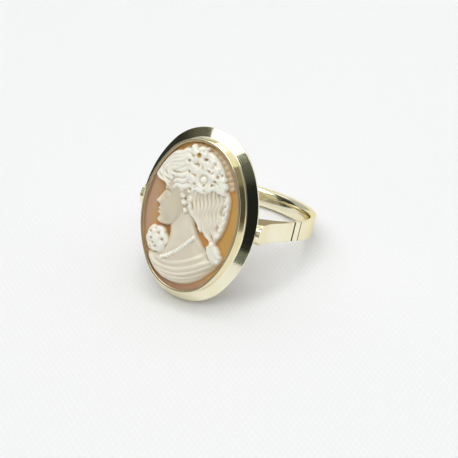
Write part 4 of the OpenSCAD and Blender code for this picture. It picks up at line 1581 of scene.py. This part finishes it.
@dataclass
class Cameo:
    """The carved shell, with its front, its edge and its back."""

    sizes: RingSizes
    cells_x: int = 256
    cells_z: int = 364
    carved_height: float = 1.72
    steep_rim: float = 16.0
    relief_from: float = 0.08

    @property
    def oval(self) -> Oval:
        """The cameo's outline."""
        return Oval(self.sizes.cameo_w / 2, self.sizes.cameo_h / 2)

    def blurred(self, heights: Array, reach: int) -> Array:
        """Averages a grid of heights over a square, twice.

        Args:
            heights: The grid.
            reach: Half width of the square in cells.

        Returns:
            The averaged grid.
        """
        width = 2 * reach + 1
        for axis in (0, 1, 0, 1):
            first, last = heights.take([0], axis), heights.take([-1], axis)
            padded = [np.repeat(first, reach + 1, axis), heights, np.repeat(last, reach, axis)]
            total = np.cumsum(np.concatenate(padded, axis), axis)
            count = heights.shape[axis]
            heights = (total.take(range(width, width + count), axis) - total.take(range(count), axis)) / width
        return heights

    def build(self) -> tuple[Mesh, dict[Mark, Array]]:
        """Builds the cameo.

        Returns:
            Its mesh, and the values that the carving leaves on each vertex of its front.
        """
        s, oval = self.sizes, self.oval
        bm = bmesh.new()
        bmesh.ops.create_grid(bm, x_segments=self.cells_x, y_segments=self.cells_z, size=1.0)
        a, b = np.array([v.co[:2] for v in bm.verts]).T
        p, q = oval.half_x * a * np.sqrt(1 - b**2 / 2), oval.half_z * b * np.sqrt(1 - a**2 / 2)
        angle = np.arctan2(q, p)
        reach = np.hypot(p / oval.half_x, q / oval.half_z) * oval.reach(angle)
        x, y = reach * np.cos(angle), reach * np.sin(angle)
        carved = Oval(oval.half_x - s.margin, oval.half_z - s.margin).reach(angle)
        dome = 1 - (np.hypot(x, y) / carved) ** 2
        relief = Lady(x, y, oval.half_x, oval.half_z)
        relief.carve()
        heights = np.clip(relief.h, 0, None) * s.relief_h / self.carved_height
        column = np.rint((a + 1) / 2 * self.cells_x).astype(int)
        row = np.rint((b + 1) / 2 * self.cells_z).astype(int)
        grid = np.zeros((self.cells_z + 1, self.cells_x + 1))
        grid[row, column] = heights * np.clip(self.steep_rim * dome, 0, 1)
        grid = self.blurred(grid, 1)
        heights = grid[row, column]
        covered = (grid > self.relief_from).astype(float)
        values = {
            Mark.RELIEF: heights / s.relief_h,
            # Hollows below the nearby heights, for painted shade in the finish.
            Mark.HOLLOW_SHADE: np.clip((self.blurred(grid, 4) - grid)[row, column] / 0.12, 0, 1),
            # Crests above the nearby heights, for painted highlights in the finish.
            Mark.CREST_HIGHLIGHT: np.clip((grid - self.blurred(grid, 10))[row, column] / 0.25, 0, 1),
            Mark.AMBER: relief.amber,
            Mark.SHADE: relief.shade,
            # Closeness to the carving, for painted shade on the ground beside it.
            Mark.SHADE_BESIDE: self.blurred(covered, 14)[row, column],
            # Nearness to the edge, for the painted shadow of the lip.
            Mark.EDGE_SHADOW: ease(0.11, 0.03, dome),
        }
        top = s.cameo_top + s.ground_rise * np.clip(dome, 0, 1) + heights
        for vert, *place in zip(bm.verts, x, y, top):
            vert.co = place
        self.close_back(bm)
        return bm, values

    def close_back(self, bm: Mesh) -> None:
        """Gives the carved front its edge and a slightly hollowed back.

        Args:
            bm: The front's mesh.
        """
        rim = [e for e in bm.edges if e.is_boundary]
        for share, rise in ((1.0, 0.12), (0.985, 0.0), (0.86, 0.0), (0.62, 0.12), (0.3, 0.18)):
            grown = bmesh.ops.extrude_edge_only(bm, edges=rim)["geom"]
            rim = [e for e in grown if isinstance(e, bmesh.types.BMEdge)]
            for vert in (v for v in grown if isinstance(v, bmesh.types.BMVert)):
                angle = math.atan2(vert.co.y, vert.co.x)
                far = share * float(self.oval.reach(np.array([angle]))[0])
                vert.co = (far * math.cos(angle), far * math.sin(angle), self.sizes.cameo_back + rise)
        bmesh.ops.edgeloop_fill(bm, edges=rim)


@dataclass(frozen=True)
class Studio:
    """The pale floor, the soft light and the camera."""

    azimuth: float = 31.24
    elevation: float = 35.20
    distance: float = 140.0
    focal_pixels: float = 1148.7
    centre_pixel: Point = (237.8, 206.7)
    front_edge: float = 0.153
    floor_half: float = 1.5
    weave: Point = (0.65, 1.16)
    paper_low: Colour = (0.81, 0.817, 0.825, 1.0)
    paper_high: Colour = (0.845, 0.852, 0.86, 1.0)
    tent: Colour = (0.98, 0.98, 0.98, 1.0)
    key_size: float = 0.18
    key_energy: float = 0.30
    key_place: tuple[float, float, float] = (0.0, 0.08, 0.45)

    # Patches of the surroundings, one over the other: azimuth from the front towards the right, from and to,
    # then height over the horizon, from and to, all in degrees, then their softness and colour.
    PATCHES = (
        (-78, 50, 36, 80, 6.0, (3.5, 3.5, 3.5)),
        (-180, 180, -90, 40, 6.0, (0.5, 0.5, 0.5)),
        (-180, 180, -90, -1, 0.5, (0.17, 0.17, 0.16)),
        (-78, 50, -1, 45, 0.35, (0.17, 0.19, 0.165)),
        (-60, 50, 14, 36, 9.0, (0.028, 0.032, 0.028)),
        (-42, -6, 12, 38, 3.0, (0.60, 0.57, 0.46)),
        (-52, -4, -1, 21, 4.0, (0.32, 0.28, 0.22)),
        (-76, -46, -1, 74, 3.0, (0.32, 0.31, 0.27)),
        (-76, -46, -1, 50, 3.0, (0.12, 0.12, 0.10)),
        (-82, -48, -1, 31, 9.0, (0.03, 0.033, 0.028)),
        (48, 100, -1, 49, 1.5, (0.28, 0.26, 0.22)),
        (46, 96, 3, 33, 3.0, (0.085, 0.08, 0.065)),
        (2, 46, -3.2, 3.2, 0.3, (0.15, 0.165, 0.14)),
        (2, 46, 3.2, 31, 0.3, (0.014, 0.016, 0.015)),
    )

    def camera(self) -> None:
        """Places the camera at the photograph's angle."""
        data = bpy.data.cameras.new("camera")
        data.sensor_width = 36.0
        data.lens = self.focal_pixels / PHOTO_SIZE * data.sensor_width
        data.shift_x = -(self.centre_pixel[0] - PHOTO_SIZE / 2) / PHOTO_SIZE
        data.shift_y = (self.centre_pixel[1] - PHOTO_SIZE / 2) / PHOTO_SIZE
        data.clip_start, data.clip_end = 0.005, 20.0
        camera = placed("camera", data)
        az, el = math.radians(self.azimuth), math.radians(self.elevation)
        away = Vector((math.sin(az) * math.cos(el), -math.cos(az) * math.cos(el), math.sin(el)))
        camera.location = away * self.distance * MM
        camera.rotation_euler = away.to_track_quat("Z", "Y").to_euler()
        bpy.context.scene.camera = camera

    def paper(self) -> bpy.types.Material:
        """Builds the finish of the floor: pale paper with a fine weave."""
        material = bpy.data.materials.new("pale_paper")
        recipe = Recipe.of(material)
        where = recipe.add("TexCoord").outputs["Object"]
        turned = recipe.add("Mapping", Vector=where, Rotation=(0, 0, math.radians(-self.azimuth))).outputs[0]
        parts = recipe.add("SeparateXYZ", Vector=turned).outputs
        ribs = [
            recipe.math("SINE", recipe.times(part, 2 * math.pi / (pitch * MM)))
            for part, pitch in zip(parts, self.weave)
        ]
        pebble = recipe.times(*ribs)
        grain = recipe.noise(turned, 2500.0, 2.0)
        bump = recipe.add("Bump", Strength=0.25, Distance=0.03 * MM, Height=recipe.times(grain, 0.5, pebble))
        tone = recipe.layered(self.paper_low, (recipe.times(pebble, 0.35, grain), self.paper_high))
        shader = recipe.add("BsdfPrincipled", Base_Color=tone, Roughness=0.7, Normal=bump.outputs[0])
        recipe.add("OutputMaterial", Surface=shader.outputs[0])
        return material

    def floor(self, height: float) -> None:
        """Lays the pale floor.

        Args:
            height: Its height in metres.
        """
        bm = bmesh.new()
        bmesh.ops.create_grid(bm, x_segments=2, y_segments=2, size=self.floor_half)
        bmesh.ops.translate(bm, verts=bm.verts, vec=(0, self.floor_half - self.front_edge, height))
        mesh = bpy.data.meshes.new("floor")
        bm.to_mesh(mesh)
        bm.free()
        mesh.materials.append(self.paper())
        floor = placed("floor", mesh)

    def window(self, recipe: Recipe, angle: Socket, low: float, high: float, soft: float) -> Socket:
        """Gives 1 between two angles in degrees and 0 beyond them, with soft ends."""
        rises = recipe.band(angle, math.radians(low - soft), math.radians(low + soft))
        return recipe.times(rises, recipe.band(angle, math.radians(high + soft), math.radians(high - soft)))

    def light(self) -> None:
        """Sets the pale tent of light with its dark front opening, and a soft key over it."""
        world = bpy.data.worlds.new("light_tent")
        bpy.context.scene.world = world
        recipe = Recipe.of(world)
        x, y, z = recipe.add("SeparateXYZ", Vector=recipe.add("TexCoord").outputs["Generated"]).outputs
        azimuth = recipe.math("ARCTAN2", x, recipe.times(y, -1.0))
        rise = recipe.math("ARCSINE", z)
        patches = []
        for left, right, low, high, soft, grey in self.PATCHES:
            across = self.window(recipe, azimuth, left, right, soft)
            upwards = self.window(recipe, rise, low, high, soft)
            patches.append((recipe.times(across, upwards), (*grey, 1.0)))
        background = recipe.add("Background", Color=recipe.layered(self.tent, *patches), Strength=1.0)
        recipe.add("OutputWorld", Surface=background.outputs[0])

        data = bpy.data.lights.new("key", "AREA")
        data.shape = "DISK"
        data.size = self.key_size
        data.energy = self.key_energy
        key = placed("key", data)
        key.location = self.key_place
        key.rotation_euler = Vector(self.key_place).to_track_quat("Z", "Y").to_euler()
        bpy.context.scene.view_settings.view_transform = "Standard"


def main() -> None:
    """Builds the ring piece by piece, then its studio."""
    logging.basicConfig(level=logging.INFO, format="%(name)s %(message)s")
    sizes = RingSizes()
    shop = Workshop()
    handling = handling_group()
    polished = GoldFinish("polished_gold").build(handling)
    worn = GoldFinish("worn_gold", roughness=0.12, spread=0.10, marks=0.03).build(handling)
    lined = BandGold("band_gold").build(handling)
    shell = ShellFinish().build(handling, sizes.head_space)

    head = Head(sizes)
    for name, bm, space, finish in (
        ("bezel", head.bezel(), sizes.head_space, polished),
        ("flange", head.flange(), sizes.head_space, polished),
        ("gallery", head.gallery(), sizes.head_space, worn),
        ("band", Band(sizes).build(), sizes.ring_space, lined),
    ):
        shop.finish(name, bm, space, finish, Slot.GOLD, Node.MOUNT, even=True)

    carved, values = Cameo(sizes).build()
    mesh = shop.finish("cameo", carved, sizes.head_space, shell, Slot.SHELL, Node.CAMEO).data
    for mark, share in values.items():
        full = np.zeros(len(mesh.vertices))
        full[: len(share)] = share
        mesh.attributes.new(mark.value, "FLOAT", "POINT").data.foreach_set("value", full)

    studio = Studio()
    studio.floor(sizes.floor_z)
    studio.light()
    studio.camera()
    LOG.info("%d pieces", len(shop.pieces))


if __name__ == "__main__":
    main()
